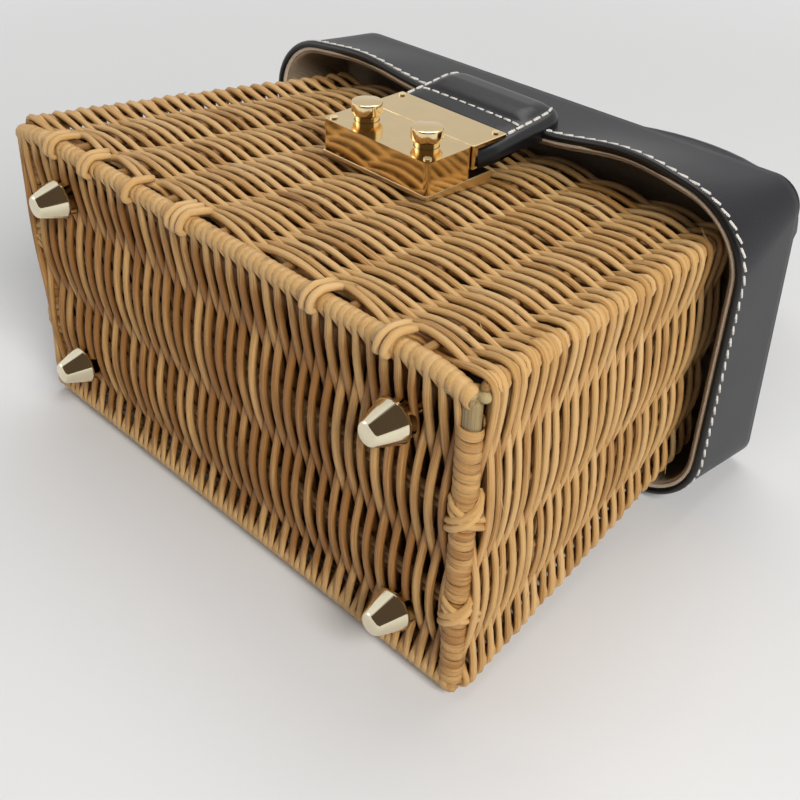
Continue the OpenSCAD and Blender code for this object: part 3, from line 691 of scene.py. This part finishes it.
endLook = dict(
    steps=16, reach=2.9, reachWander=0.2, strand=1.52, tip=0.2, upWander=0.4, wander=0.05,
    tone=0.08, toneWander=0.3, cloud=0.25, cloudShare=0.35, seed=21,
    crossZ=(62, 30), over=4.7, under=4.3, tuck=3.2, rises=((0, 0.95), (1, 0.95), (0, -0.8), (1, -0.8)),
    firstTurn=-70, turnStep=23, crossSteps=11, gap=2.5, start=5, cross=1.15, crossTone=(0.35, 0.7),
    tail=(0.5, 2.4, 1.5),  # in, up and back along the wall
)


def endHelix(x, y, way):
    look = endLook
    points, radii, tones = [], [], []
    wrapped = rods["bareFrom"] + (0 if x > 0 else rods["leftMore"]) - 3
    for i in range(int(wrapped / rods["endPitch"]) * look["steps"]):
        t = 2 * math.pi * i / look["steps"]
        z = rods["wrapFromZ"] + rods["endPitch"] * i / look["steps"]
        wander = noise.noise(Vector((i * look["wander"], x, 3)))
        r = look["reach"] + look["reachWander"] * wander
        points.append((x + way * r * math.cos(t), y - r * math.sin(t), z + look["upWander"] * wander))
        radii.append(look["strand"])
        cloud = noise.noise(Vector((z * look["cloud"], 1, x)))
        tones.append(look["tone"] + look["toneWander"] * wander + look["cloudShare"] * cloud)
    radii[0] = radii[-1] = look["tip"]
    return points, radii, tones, False


def endCross(x, y, way, z, step, rise):  # one strand of a crossed bundle round the rod
    look = endLook
    line = []
    for k in range(look["crossSteps"]):
        turn = math.radians(look["firstTurn"] + look["turnStep"] * k)
        r = look["over" if rise > 0 else "under"] if k else look["tuck"]
        up = z - look["start"] * rise + step * look["gap"] + rise * k
        line.append((x + way * r * math.sin(turn), y - r * math.cos(turn), up))
    if rise < 0:  # the tails lie on the wall
        lastX, lastY, lastZ = line[-3]
        inward, upward, back = look["tail"]
        line[-2:] = [(lastX - way * inward * t, lastY + upward * t, lastZ - back * t) for t in (1, 2)]
    return line


def endWraps():
    chance = random.Random(endLook["seed"])
    strands = []
    for x, y, way in ((rods["leftX"], rods["leftY"], -1), (rods["endX"], rods["endY"], 1)):
        strands.append(endHelix(x, y, way))
        for z in endLook["crossZ"]:  # these bind the base stakes to the rod
            for step, rise in endLook["rises"]:
                line = endCross(x, y, way, z, step, rise)
                tone = chance.uniform(*endLook["crossTone"])
                strands.append((*tapered(line, endLook["cross"]), tone, False))
    return strands


endRodWraps = strandObject("endRodWraps", endWraps(), cane, 2, flatOnEndRods)
finishPiece(endRodWraps, "basket", "cane", "edge_rod_left", "edge_rod_right")


def frontBundles():
    look = bundles
    chance = random.Random(look["seed"])
    strands = []
    for place, count in look["places"]:
        for n in range(count):
            offset = n - (count - 1) / 2
            x = place + offset * look["gap"]
            rodZ = frontRodZ(x)
            line = []
            for k in range(look["steps"]):
                turn = math.radians(look["firstTurn"] + look["turnStep"] * k)
                r = look["reach"] * look["startShares"][min(k, 2)] + look["uneven"] * chance.uniform(-1, 1)
                along = look["drift"] * (k / (look["steps"] - 1) - 0.5)
                line.append((x + along, rods["y"] - r * math.cos(turn), rodZ + r * math.sin(turn)))
            tail = look["tail"] + chance.uniform(*look["tailMore"])
            splay = look["splay"] + look["fan"] * offset
            lastX, lastY, lastZ = line[-1]
            for share in (0.5, 1.0):
                dip = look["tailDip"] * share * share
                line.append((lastX + splay * tail * share, lastY + tail * share, lastZ - dip))
            thick = look["strand"] * chance.uniform(*look["size"])
            strands.append((*tapered(line, thick), chance.uniform(*look["tone"]), False))
    return strands


finishPiece(strandObject("rodBundles", frontBundles(), cane), "basket", "cane", "edge_bindings")


def capsule(start, stop, radius, tone):  # a stub with round ends
    a, b = Vector(start), Vector(stop)
    axis = (b - a).normalized()
    points, radii = [], []
    for end, turns in ((a, (-90, -65, -35, 0)), (b, (0, 35, 65, 90))):
        for turn in turns:
            t = math.radians(turn)
            points.append(tuple(end + axis * radius * math.sin(t)))
            radii.append(max(radius * math.cos(t), strandMaking["tip"]))
    return points, radii, tone, False


# each stub's start and stop from the corner where the rods meet, its radius and tone
cutStubs = (
    ((0, 0, -13), (0, 0, -2), 2.55, 0.05),  # the bare length of the end rod
    ((-7, -0.8, 0), (-1.6, -0.6, 0), 2.35, 0.45),  # end of the front rod
    ((-1.5, -0.7, 0.6), (-0.4, -0.9, 0.7), 2.15, 0.6),
    ((-0.5, 1.6, 0), (2.6, 1.2, 0.2), 1.75, 0.65),
)


def cutEnds():  # bare, glued rod ends at the front right corner of the base
    corner = rods["endX"], rods["endY"], frontRodZ(rods["endX"])
    strands = []
    for start, stop, radius, tone in cutStubs:
        a, b = ([c + d for c, d in zip(corner, off)] for off in (start, stop))
        strands.append(capsule(a, b, radius, tone))
    return strands


finishPiece(strandObject("cutRodEnds", cutEnds(), cutCane, 4), "basket", "cane_dark")
print("rods and bindings made")

border = dict(y=125.6, strands=3, steps=10, length=521, twists=36, reach=1.0, tuck=2.9, strand=1.0,
              tone=0.1, cloud=0.05, cloudShare=0.2)


def borderRope():
    strands = []
    for start in range(border["strands"]):
        points, tones = [], []
        stations = wallStations(border["y"], border["steps"])
        run = 0
        for i, ((x, z), (nx, nz), passed, side, fromCorner) in enumerate(stations):
            if i:
                run += math.dist((x, z), stations[i - 1][0])
            t = 2 * math.pi * (run / border["length"] * border["twists"] + start / border["strands"])
            out = border["reach"] * math.cos(t) - border["tuck"]  # tucked inside the last rows
            up = border["y"] + border["reach"] * math.sin(t)
            points.append((x + nx * out, up, basket["midZ"] + z + nz * out))
            cloud = noise.noise(Vector((run * border["cloud"], start, 2)))
            tones.append(border["tone"] + border["cloudShare"] * cloud)
        strands.append((points, [border["strand"]] * len(points), tones, True))
    return strands


finishPiece(strandObject("borderRope", borderRope(), cane), "basket", "cane", "border_rod")

fibres = dict(count=150, length=(2, 4.5), bend=(-0.8, 0.8), bendShare=0.5, lift=0.32, root=0.85,
              radii=(0.15, 0.13, 0.1), tone=(0.5, 1.1), endFace=46, seed=14)


def looseFibres():  # torn fibres that stand off the cane here and there
    chance = random.Random(fibres["seed"])
    strands = []
    for n in range(fibres["count"]):
        points, radii, tones, closed = chance.choice(rows)
        i = chance.randrange(1, len(points) - 4)
        a, b = Vector(points[i]), Vector(points[i + 1])
        across = a.z - basket["midZ"]
        if abs(a.x) > abs(across) + fibres["endFace"]:
            away = Vector((math.copysign(1, a.x), 0, 0))
        else:
            away = Vector((0, 0, math.copysign(1, across)))
        along = (b - a).normalized() * chance.choice((-1, 1))
        bend = Vector((0, chance.uniform(*fibres["bend"]), 0))
        length = chance.uniform(*fibres["length"])
        root = a + away * (radii[i] * fibres["root"])
        curl = away * fibres["lift"] + bend * fibres["bendShare"]
        line = [tuple(root + (along * t + curl * t * t) * length) for t in (0, 0.35, 0.7, 1)]
        thin = [*fibres["radii"], strandMaking["tip"]]
        strands.append((line, thin, chance.uniform(*fibres["tone"]), False))
    return strands


finishPiece(strandObject("looseFibres", looseFibres(), cane, 0), "basket", "cane")
print("fibres made")


# lid

lid = dict(
    rimW=99.5, rimShift=-1.8, rimFront=106.2, rimBack=0.5, rimY=110.2, rimR=22.0,  # outline at the rim
    topW=95.0, topFront=104.8, topBack=0.8, topY=145.6, topR=9.5, topLeftR=15.0,  # and at the top
    topTilt=0.078, topSlope=0.016, midZ=52, leastR=0.6,
    bellies=((-55, 21, 3.2), (58, 24, 5.4)), bellyFade=1.6, frontFrom=78, frontOver=20,
    wall=2.5, lining=1.3, liningGap=0.15, bead=1.15, piping=0.9, felt=0.7,
    levels=(0, 0.04, 0.1, 0.18, 0.3, 0.45, 0.6, 0.75, 0.88, 0.96), liningLevels=(0.012, 0.1, 0.3, 0.6, 0.84),
    topInsets=((2.4, -0.5), (2.0, 0.7), (1.5, 0.1)), liningInsets=((3, 0),), sharp=50,
    crownAt=(0.985, 0.5), panelAt=(1.0, 1.8), beadAt=(0.0, 0.75), pipingAt=(1.0, 0.95), pipingDrop=0.75,
    feltAt=(0.004, 2.5), stitchAt=(0.045, -0.15),  # each level with its inset
)


def lidRing(t, inset=0.0):  # closed ring from rim (0) to top (1), the same count of points at every level
    def between(low, high):
        return lid[low] + (lid[high] - lid[low]) * t
    usual, left = (max(between("rimR", top) - inset, lid["leastR"]) for top in ("topR", "topLeftR"))
    w = between("rimW", "topW") - inset
    front, back = between("rimFront", "topFront") - inset, between("rimBack", "topBack") + inset
    # each corner's place, its first turn, the count of steps before it and its radius
    corners = ((w, front, 90, 40, usual), (w, back, 0, 18, usual),
               (-w, back, -90, 24, usual), (-w, front, 180, 18, left))
    arcs = []
    for cx, cz, start, count, radius in corners:
        mx, mz = cx - math.copysign(radius, cx), (front - radius if cz == front else back + radius)
        turns = [math.radians(start - 7.5 * i) for i in range(13)]
        arcs.append([(mx + radius * math.cos(a), mz + radius * math.sin(a)) for a in turns])
    ring = []
    for number, arc in enumerate(arcs):
        (px, pz), (nx, nz), count = arcs[number - 1][-1], arc[0], corners[number][3]
        ring += [(px + (nx - px) * i / count, pz + (nz - pz) * i / count) for i in range(1, count)] + arc
    points = []
    for x, z in ring:
        frontness = min(max((z - lid["frontFrom"]) / lid["frontOver"], 0), 1)
        belly = sum(high * bell(x, middle, wide) for middle, wide, high in lid["bellies"])
        z += (1 - t) ** lid["bellyFade"] * frontness * belly
        z += t * lid["topSlope"] * x * frontness
        top = lid["topY"] + lid["topTilt"] * (lid["midZ"] - z)
        points.append((x + lid["rimShift"] * (1 - t), lid["rimY"] + (top - lid["rimY"]) * t, z))
    return points


def topLevel(ring, drop=0.0):  # a ring laid on the slanting top
    return [(x, lid["topY"] + lid["topTilt"] * (lid["midZ"] - z) - drop, z) for x, y, z in ring]


def loftRings(rings, insets):  # the last ring is closed by a face, set in step by step
    bm = bmesh.new()
    loops = []
    for ring in rings:
        verts = [bm.verts.new(at(*p)) for p in ring]
        loops.append([bm.edges.new((a, b)) for a, b in zip(verts, verts[1:] + verts[:1])])
    for low, high in zip(loops, loops[1:]):
        bmesh.ops.bridge_loops(bm, edges=low + high)
    made = bmesh.ops.contextual_create(bm, geom=loops[-1])["faces"]
    for thickness, depth in insets:
        bmesh.ops.inset_region(bm, faces=made, thickness=thickness * mm, depth=depth * mm,
                               use_even_offset=True)
    bmesh.ops.recalc_face_normals(bm, faces=bm.faces)
    return bm


def thicken(obj, name, thickness, offset):
    wall = obj.modifiers.new(name, "SOLIDIFY")
    wall.thickness = thickness * mm
    wall.offset = offset


shellRings = [lidRing(t) for t in lid["levels"]]
shellRings += [lidRing(*lid["crownAt"]), topLevel(lidRing(*lid["panelAt"]))]
lidShell = meshObject("lidShell", loftRings(shellRings, lid["topInsets"]), leather, lid["sharp"])
thicken(lidShell, "wall", lid["wall"], -1)
finishPiece(lidShell, "lid", "leather", "lid_skirt", "lid_top")

liningRings = [lidRing(t, lid["wall"] + lid["liningGap"]) for t in lid["liningLevels"]]
lidFelt = meshObject("lidFelt", loftRings(liningRings, lid["liningInsets"]), lidCloth, lid["sharp"])
thicken(lidFelt, "wall", lid["lining"], -1)
finishPiece(lidFelt, "lid", "beige", "lid_lining")


def ringStrand(ring, radius):
    return ring, [radius] * len(ring), 0.5, True


beads = [ringStrand(lidRing(*lid["beadAt"]), lid["bead"]),
         ringStrand(topLevel(lidRing(*lid["pipingAt"]), lid["pipingDrop"]), lid["piping"])]
finishPiece(strandObject("lidEdges", beads, edgePaint), "lid", "leather", "rim_piping")
feltEdge = strandObject("feltEdge", [ringStrand(lidRing(*lid["feltAt"]), lid["felt"])], felt)
finishPiece(feltEdge, "lid", "beige")


def stitchRow(path, pitch, length, radius, lean, closed):
    strands, total = [], [0.0]
    path = [Vector(p) for p in path]
    if closed:
        path.append(path[0])
    for a, b in zip(path, path[1:]):
        total.append(total[-1] + (b - a).length)

    def place(s):
        for i in range(1, len(total)):
            if s <= total[i] or i == len(total) - 1:
                step = max(total[i] - total[i - 1], 1e-6)
                return path[i - 1].lerp(path[i], (s - total[i - 1]) / step)
    count = int(total[-1] / pitch)
    rise = lean * Vector((0, 1, 0))
    for n in range(count):
        middle = (n + 0.5) * total[-1] / count
        a, b = place(max(middle - length / 2, 0)), place(min(middle + length / 2, total[-1]))
        line = [a - rise, a.lerp(b, 0.5), b + rise]
        strands.append((*tapered([tuple(p) for p in line], radius), 0.5, False))
    return strands


lidStitch = dict(pitch=4.05, length=3.4, radius=0.47, lean=0.5)
lidStitches = stitchRow(lidRing(*lid["stitchAt"]), **lidStitch, closed=True)
finishPiece(strandObject("lidStitches", lidStitches, thread, 1), "lid", "beige")
print("lid made,", len(lidStitches), "stitches")


# lock tab

tab = dict(
    halfW=24.2, nearY=82.6, farY=122.0, cornerR=8.0, baseZ=104.4, topZ=110.9,
    narrowFrom=90, narrowOver=7.4, narrow=1.6,  # it draws in a little towards the hasp
    rim=3.1, edge=2.4, edgeDrop=2.0, padEdge=5.0, farEdge=4.0, farDrop=2.8, sides=(0.9, 2.0, 0.9),
    rimHeights=((80, -3.3), (91, -2.5), (100, -1.5), (108, -0.9), (117, 0.1), (123, 0.2)),
    padHeights=((80, -3.3), (95.4, -3.3), (96.6, -1.6), (99, -1.1), (102.3, -0.7), (103.8, -1.4),
                (105.4, 0.2), (108.5, 1.4), (112, 1.8), (117, 1.3), (123, 0.2)),
    stitchY=103.8, stitchHalfW=20.6, stitchBow=1.2, stitchUp=0.12, sideFromY=89, sideLength=30,
)


def tabWidth(y):
    past = max(y - (tab["farY"] - tab["cornerR"]), 0)
    drawn = tab["narrow"] * max(tab["narrowFrom"] - y, 0) / tab["narrowOver"]
    rounded = tab["cornerR"] - math.sqrt(max(tab["cornerR"] ** 2 - past ** 2, 0))
    return tab["halfW"] - drawn - rounded


def tabHeight(x, y):  # padded between a flat, rolled rim
    def eased(distance, over):
        return math.sin(min(max(distance / over, 0), 1) * math.pi / 2)
    inside = tabWidth(y) - abs(x)
    crown, inner = eased(inside, tab["edge"]), eased(inside - tab["rim"], tab["padEdge"])
    ends = eased(tab["farY"] - y, tab["farEdge"])
    rim, padded = spread(y, tab["rimHeights"]), spread(y, tab["padHeights"])
    lowered = tab["edgeDrop"] * (1 - crown) + tab["farDrop"] * (1 - ends)
    return tab["topZ"] + rim + (padded - rim) * inner - lowered


def tabPad():
    bm = bmesh.new()
    bmesh.ops.create_grid(bm, x_segments=36, y_segments=44, size=1)
    for v in bm.verts:
        y = tab["nearY"] + (tab["farY"] - tab["nearY"]) * (v.co.y + 1) / 2
        x = math.copysign(abs(v.co.x) ** 0.8, v.co.x) * tabWidth(y)
        v.co = at(x, y, tabHeight(x, y))
    rim = [e for e in bm.edges if e.is_boundary]
    for depth in tab["sides"]:
        made = bmesh.ops.extrude_edge_only(bm, edges=rim)["geom"]
        rim = [g for g in made if isinstance(g, bmesh.types.BMEdge) and g.is_boundary]
        verts = {v for e in rim for v in e.verts}
        bmesh.ops.translate(bm, verts=list(verts), vec=(0, 0, -depth * mm))
    for v in verts:
        v.co.z = tab["baseZ"] * mm
    bmesh.ops.contextual_create(bm, geom=rim)
    bmesh.ops.recalc_face_normals(bm, faces=bm.faces)
    return bm


pad = finishPiece(meshObject("tabPad", tabPad(), tabLeather, 60), "lid", "leather", "lock_tab")


def onTab(x, y):
    return x, y, tabHeight(x, y) + tab["stitchUp"]


half = tab["stitchHalfW"]
acrossTab = [onTab(-half + 2 * half * i / 24, tab["stitchY"] - tab["stitchBow"] * abs(i / 12 - 1) ** 3)
             for i in range(25)]
tabStitches = stitchRow(acrossTab, pitch=3.6, length=2.9, radius=0.48, lean=0.1, closed=False)
for side in (-1, 1):
    ys = [tab["sideFromY"] + tab["sideLength"] * i / 24 for i in range(25)]
    line = [onTab(side * (tabWidth(y) - tab["rim"]), y) for y in ys]
    tabStitches += stitchRow(line, pitch=3.7, length=3.1, radius=0.52, lean=0.05, closed=False)
finishPiece(strandObject("tabStitches", tabStitches, thread, 1), "lid", "beige")
print("tab made")


# lock, feet and other metal

wideEdge, fineEdge = 0.45, 0.3  # mm
edgedCopy("lock_case", gold, wideEdge, "basket", "gold")
edgedCopy("lock_base_plate", brushedGold, fineEdge, "basket", "gold")
edgedCopy("hasp_plate", gold, wideEdge, "lid", "gold")
edgedCopy("hasp_tongue", gold, fineEdge, "lid", "gold")


def turned(name, profile, centre, upright, finish):  # spun about an axis through centre
    bm = bmesh.new()
    verts = [bm.verts.new((r * mm, 0, h * mm)) for r, h in profile]
    edges = [bm.edges.new(pair) for pair in zip(verts, verts[1:])]
    bmesh.ops.spin(bm, geom=verts + edges, cent=(0, 0, 0), axis=(0, 0, 1), angle=2 * math.pi, steps=40,
                   use_merge=True, use_duplicate=False)
    bmesh.ops.remove_doubles(bm, verts=bm.verts, dist=cadCopy["merge"])
    if not upright:
        lying = Matrix.Rotation(math.pi / 2, 3, "X")
        bmesh.ops.rotate(bm, verts=bm.verts, cent=(0, 0, 0), matrix=lying)
    bmesh.ops.translate(bm, verts=bm.verts, vec=at(*centre))
    bmesh.ops.recalc_face_normals(bm, faces=bm.faces)
    return meshObject(name, bm, finish, 28)


button = dict(pitch=25, y=71.25, low=108.2, neckR=3.7, capZ=112.0, topZ=115.83, capR=4.75, edge=0.45,
              soft=0.13, dish=0.05, travel=1.8)


def buttonProfile(b):  # radius and height, from the foot of the neck to the middle of the cap
    inner = b["capR"] - b["edge"]
    return [(0, b["low"]), (b["neckR"], b["low"]), (b["neckR"], b["capZ"]), (inner, b["capZ"]),
            (b["capR"], b["capZ"] + b["edge"]), (b["capR"], b["topZ"] - b["edge"]),
            (b["capR"] - b["soft"], b["topZ"] - b["soft"]), (inner, b["topZ"]), (0, b["topZ"] - b["dish"])]


def springCoil(side):  # a merged copy of the spring's coil, on the basket
    node = f"spring_{side}"
    coil = finishPiece(meshObject(node + "Coil", mergedCopy(node), gold, 60), "basket", "gold", node)
    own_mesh(coil)


for side, sign in (("left", -1), ("right", 1)):
    body = f"{side}_button"
    place = (sign * button["pitch"] / 2, button["y"], 0)
    cap = turned(body + "Cap", buttonProfile(button), place, True, gold)
    finishPiece(cap, body, "gold", f"button_{side}")
for side in ("left", "right"):
    springCoil(side)

foot = dict(baseR=6.3, tipR=3.4, height=8.9, stem=2.5,
            drift=dict(front_left=(0.4, 0.6), front_right=(-2.2, -2.2),  # a little off the grid
                       back_left=(-0.6, 0.8), back_right=(0.2, -1.8)))


def footProfile(f):  # radius and height, from the stem in the weave to the middle of the tip
    base, tip, height = f["baseR"], f["tipR"], f["height"]
    return [(0, -f["stem"]), (base - 0.6, -f["stem"]), (base - 0.3, -footSink), (base, 0), (base, 0.5),
            (base - 0.15, 0.8), (tip + 0.12, height - 0.75), (tip - 0.25, height - 0.3),
            (tip - 0.7, height - 0.1), (0, height)]


for spot, (driftX, driftZ) in foot["drift"].items():
    node = f"foot_{spot}"
    low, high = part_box(node)
    middle = (low + high) / 2
    place = (middle.x / mm + driftX, footSink, middle.z / mm + driftZ)
    obj = turned(node + "Turned", footProfile(foot), place, False, footGold)
    finishPiece(obj, "basket", "pale_gold", node)
print("metal made")


# handle

handle = dict(span=62.0, z=53.0, footY=143.0, archY=191.5, radius=5.4, sag=4.0, sagOver=110,
              welt=0.9, weltOff=0.7, stitchIn=4.65, stitchOff=3.0)


def handlePath(inset=0.0):
    foot, arch, span = handle["footY"], handle["archY"], handle["span"]
    path = [(-span, foot + (arch - foot) * i / 6, handle["z"]) for i in range(6)]
    for i in range(25):
        a = math.pi * (1 - i / 24)
        path.append(((span - inset) * math.cos(a), arch + (span - inset) * math.sin(a), handle["z"]))
    path += [(-x, y, z) for x, y, z in reversed(path[:6])]
    path = [(x + math.copysign(inset, -x) if y < arch else x, y, z) for x, y, z in path]
    return [(x, y, z - handle["sag"] * ((y - foot) / handle["sagOver"]) ** 2) for x, y, z in path]


gripPath = handlePath()
grip = strandObject("handleGrip", [(gripPath, [handle["radius"]] * len(gripPath), 0.5, False)], leather, 6)
finishPiece(grip, "lid", "leather", "handle_grip")
strips, gripStitches = [], []
for way in (-1, 1):
    welt = [(x, y, z + way * handle["weltOff"]) for x, y, z in handlePath(handle["radius"])[3:-3]]
    strips.append((welt, [handle["welt"]] * len(welt), 0.5, False))
    line = [(x, y, z + way * handle["stitchOff"]) for x, y, z in handlePath(handle["stitchIn"])[4:-4]]
    gripStitches += stitchRow(line, pitch=4.6, length=3.2, radius=0.42, lean=0, closed=False)
finishPiece(strandObject("handleWelt", strips, edgePaint), "lid", "leather")
finishPiece(strandObject("handleStitches", gripStitches, thread, 1), "lid", "beige")
print("handle made")


# leather fold that joins the hinge strip to the lid

fold = dict(halfW=74.0, nearY=103.0, farY=113.5, z=2.0, thick=0.9, bendFrom=106.6, bendTo=109.4)


def hingeFold():
    bm = bmesh.new()
    bmesh.ops.create_grid(bm, x_segments=24, y_segments=30, size=1)
    for v in bm.verts:
        y = fold["nearY"] + (fold["farY"] - fold["nearY"]) * (v.co.y + 1) / 2
        v.co = at(v.co.x * fold["halfW"], y, fold["z"] - fold["thick"] / 2)
    made = bmesh.ops.extrude_face_region(bm, geom=bm.faces[:])["geom"]
    raised = [g for g in made if isinstance(g, bmesh.types.BMVert)]
    bmesh.ops.translate(bm, verts=raised, vec=(0, 0, fold["thick"] * mm))
    bmesh.ops.recalc_face_normals(bm, faces=bm.faces)
    return bm


foldPiece = meshObject("hingeFold", hingeFold(), leather, 50)
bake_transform(foldPiece)
print("hinge fold made")


# lining, and finishes on the CAD nodes that stay

lining = dict(levels=(124.5, 90, 60, 30, 12, 9.0), gap=1.3, cornerR=2, bottom=((4, 0),), thick=0.5)


def liningShell():  # close behind the weave, open at the mouth
    rings = []
    inset = basket["inset"], basket["swing"], lining["gap"]
    radius = lining["cornerR"]
    for y in lining["levels"]:
        halfW, halfD = (half - inset[0] - inset[1] - inset[2] for half in wallSize(y))
        ring = []
        for side in ("front", "right", "back", "left"):
            along, out = (halfW, halfD) if side in ("front", "back") else (halfD, halfW)
            reach = along - radius + math.pi * radius / 4
            for i in range(16):
                (x, z), facing = wallPoint(side, -reach + 2 * reach * i / 16, along, out, radius)
                ring.append((x, y, basket["midZ"] + z))
        rings.append(ring)
    return loftRings(rings, lining["bottom"])


fittedLining = meshObject("fittedLining", liningShell(), liningCloth, 50)
thicken(fittedLining, "cloth", lining["thick"], 0)
finishPiece(fittedLining, "basket", "cloth", "cloth_lining")

kept = dict(
    hinge_strip=leather, hinge_rivets=gold, foot_screws=gold, foot_washers=gold, case_rivets=brushedGold,
    hasp_rivets=brushedGold, handle_base_left=leather, handle_base_right=leather, handle_studs=gold,
)
for name, finish in kept.items():
    mesh = cadNodes[name].data
    mesh.materials.clear()
    mesh.materials.append(finish)
    mesh.polygons.foreach_set("material_index", [0] * len(mesh.polygons))
print("kept nodes finished")


# floor and light

backdrop = (0.85, 0.85, 0.855, 1)
table = dict(size=6, drop=0.7, cloud=3.0, dark=0.69, pale=0.71, rough=0.6, shine=0.2,
             fadeFrom=0.27, fadeTo=0.85)


def mirroredRays(tree):  # the rays by which metal and glass see the room
    rays = addNode(tree, "ShaderNodeLightPath")
    return rays, combine(tree, "MAXIMUM", rays.outputs["Is Glossy Ray"], rays.outputs["Is Transmission Ray"])


def mixShaders(tree, share, first, second):
    node = addNode(tree, "ShaderNodeMixShader")
    tree.links.new(share, node.inputs["Fac"])
    tree.links.new(first, node.inputs[1])
    tree.links.new(second, node.inputs[2])
    return node


def makeFloor():
    bm = bmesh.new()
    bmesh.ops.create_grid(bm, x_segments=1, y_segments=1, size=table["size"])
    bmesh.ops.translate(bm, verts=bm.verts, vec=(0, 0, -table["drop"] * mm))
    finish, tree, shader = newFinish("paleTable")
    where = addNode(tree, "ShaderNodeTexCoord")
    cloud = clouds(tree, where, table["cloud"], 2.0)
    colour = ramp(tree, cloud.outputs["Fac"], [(0.3, (table["dark"],) * 3), (0.7, (table["pale"],) * 3)])
    tree.links.new(colour.outputs["Color"], shader.inputs["Base Color"])
    shader.inputs["Roughness"].default_value = table["rough"]
    shader.inputs["Specular IOR Level"].default_value = table["shine"]
    far = addNode(tree, "ShaderNodeVectorMath", operation="LENGTH")  # the table fades into the backdrop
    tree.links.new(where.outputs["Object"], far.inputs[0])
    fade = smoothRange(tree, far.outputs["Value"], table["fadeFrom"], table["fadeTo"])
    rays, mirror = mirroredRays(tree)
    looked = combine(tree, "MAXIMUM", rays.outputs["Is Camera Ray"], mirror.outputs["Value"])
    share = combine(tree, "MULTIPLY", fade.outputs["Result"], looked.outputs["Value"])
    plain = addNode(tree, "ShaderNodeEmission", Color=backdrop, Strength=1.0)
    mixed = mixShaders(tree, share.outputs["Value"], shader.outputs["BSDF"], plain.outputs["Emission"])
    tree.links.new(mixed.outputs["Shader"], tree.nodes["Material Output"].inputs["Surface"])
    meshObject("paleTable", bm, finish)


lights = dict(
    key=dict(place=(1.45, -0.52, 1.2), size=1.0, power=37.0, colour=(1.0, 0.985, 0.965), mirrored=False),
    top=dict(place=(-0.4, 0.6, 1.9), size=1.6, power=17.0, colour=(0.98, 0.99, 1.0), mirrored=True),
    side=dict(place=(-1.5, -1.0, 0.7), size=0.9, power=3.5, colour=(1.0, 0.99, 0.97), mirrored=True),
)
aim = Vector((0, 0, 0.05))


def makeLights():
    for name, look in lights.items():
        lamp = bpy.data.lights.new(name + "Light", "AREA")
        lamp.shape = "DISK"
        lamp.size = look["size"]
        lamp.energy = look["power"]
        lamp.color = look["colour"]
        obj = bpy.data.objects.new(name + "Light", lamp)
        bpy.context.scene.collection.objects.link(obj)
        obj.visible_glossy = look["mirrored"]
        spot = Vector(look["place"])
        turn = (aim - spot).to_track_quat("-Z", "Y").to_matrix().to_4x4()
        obj.matrix_world = Matrix.Translation(spot) @ turn


room = dict(
    ambient=0.17, bright=0.88, dark=(0.08, (0.085, 0.062, 0.040)), pale=(0.88, (0.88, 0.88, 0.885)),
    dimSides=(((0.567, -0.578, 0.587), 0.38, 0.58, 0.80), ((-0.567, 0.578, 0.587), 0.60, 1.0, 0.27)),
)


def makeRoom():
    world = bpy.data.worlds.new("softRoom")
    bpy.context.scene.world = world
    world.use_nodes = True
    tree = world.node_tree
    soft = tree.nodes["Background"]
    soft.inputs["Color"].default_value = (1, 1, 1, 1)
    soft.inputs["Strength"].default_value = room["ambient"]
    where = addNode(tree, "ShaderNodeTexCoord")
    level = None  # brightness of the room as the metal mirrors it, with its dim sides
    for facing, start, stop, depth in room["dimSides"]:
        towards = addNode(tree, "ShaderNodeVectorMath", operation="DOT_PRODUCT")
        towards.inputs[1].default_value = facing
        tree.links.new(where.outputs["Generated"], towards.inputs[0])
        dim = smoothRange(tree, towards.outputs["Value"], start, stop)
        taken = addNode(tree, "ShaderNodeMath", operation="MULTIPLY_ADD")
        tree.links.new(dim.outputs["Result"], taken.inputs[0])
        taken.inputs[1].default_value = -depth
        taken.inputs[2].default_value = room["bright"]
        if level:
            tree.links.new(level.outputs["Value"], taken.inputs[2])
        level = taken
    walls = ramp(tree, level.outputs["Value"], [room["dark"], room["pale"]])
    mirrored = addNode(tree, "ShaderNodeBackground", Strength=1.0)
    tree.links.new(walls.outputs["Color"], mirrored.inputs["Color"])
    shown = addNode(tree, "ShaderNodeBackground", Color=backdrop, Strength=1.0)
    rays, mirror = mirroredRays(tree)
    inMetal = mirrored.outputs["Background"]
    gloss = mixShaders(tree, mirror.outputs["Value"], soft.outputs["Background"], inMetal)
    camera = rays.outputs["Is Camera Ray"]
    seen = mixShaders(tree, camera, gloss.outputs["Shader"], shown.outputs["Background"])
    tree.links.new(seen.outputs["Shader"], tree.nodes["World Output"].inputs["Surface"])


makeFloor()
makeLights()
makeRoom()
bpy.context.scene.view_settings.view_transform = "Standard"
print("floor and light made")
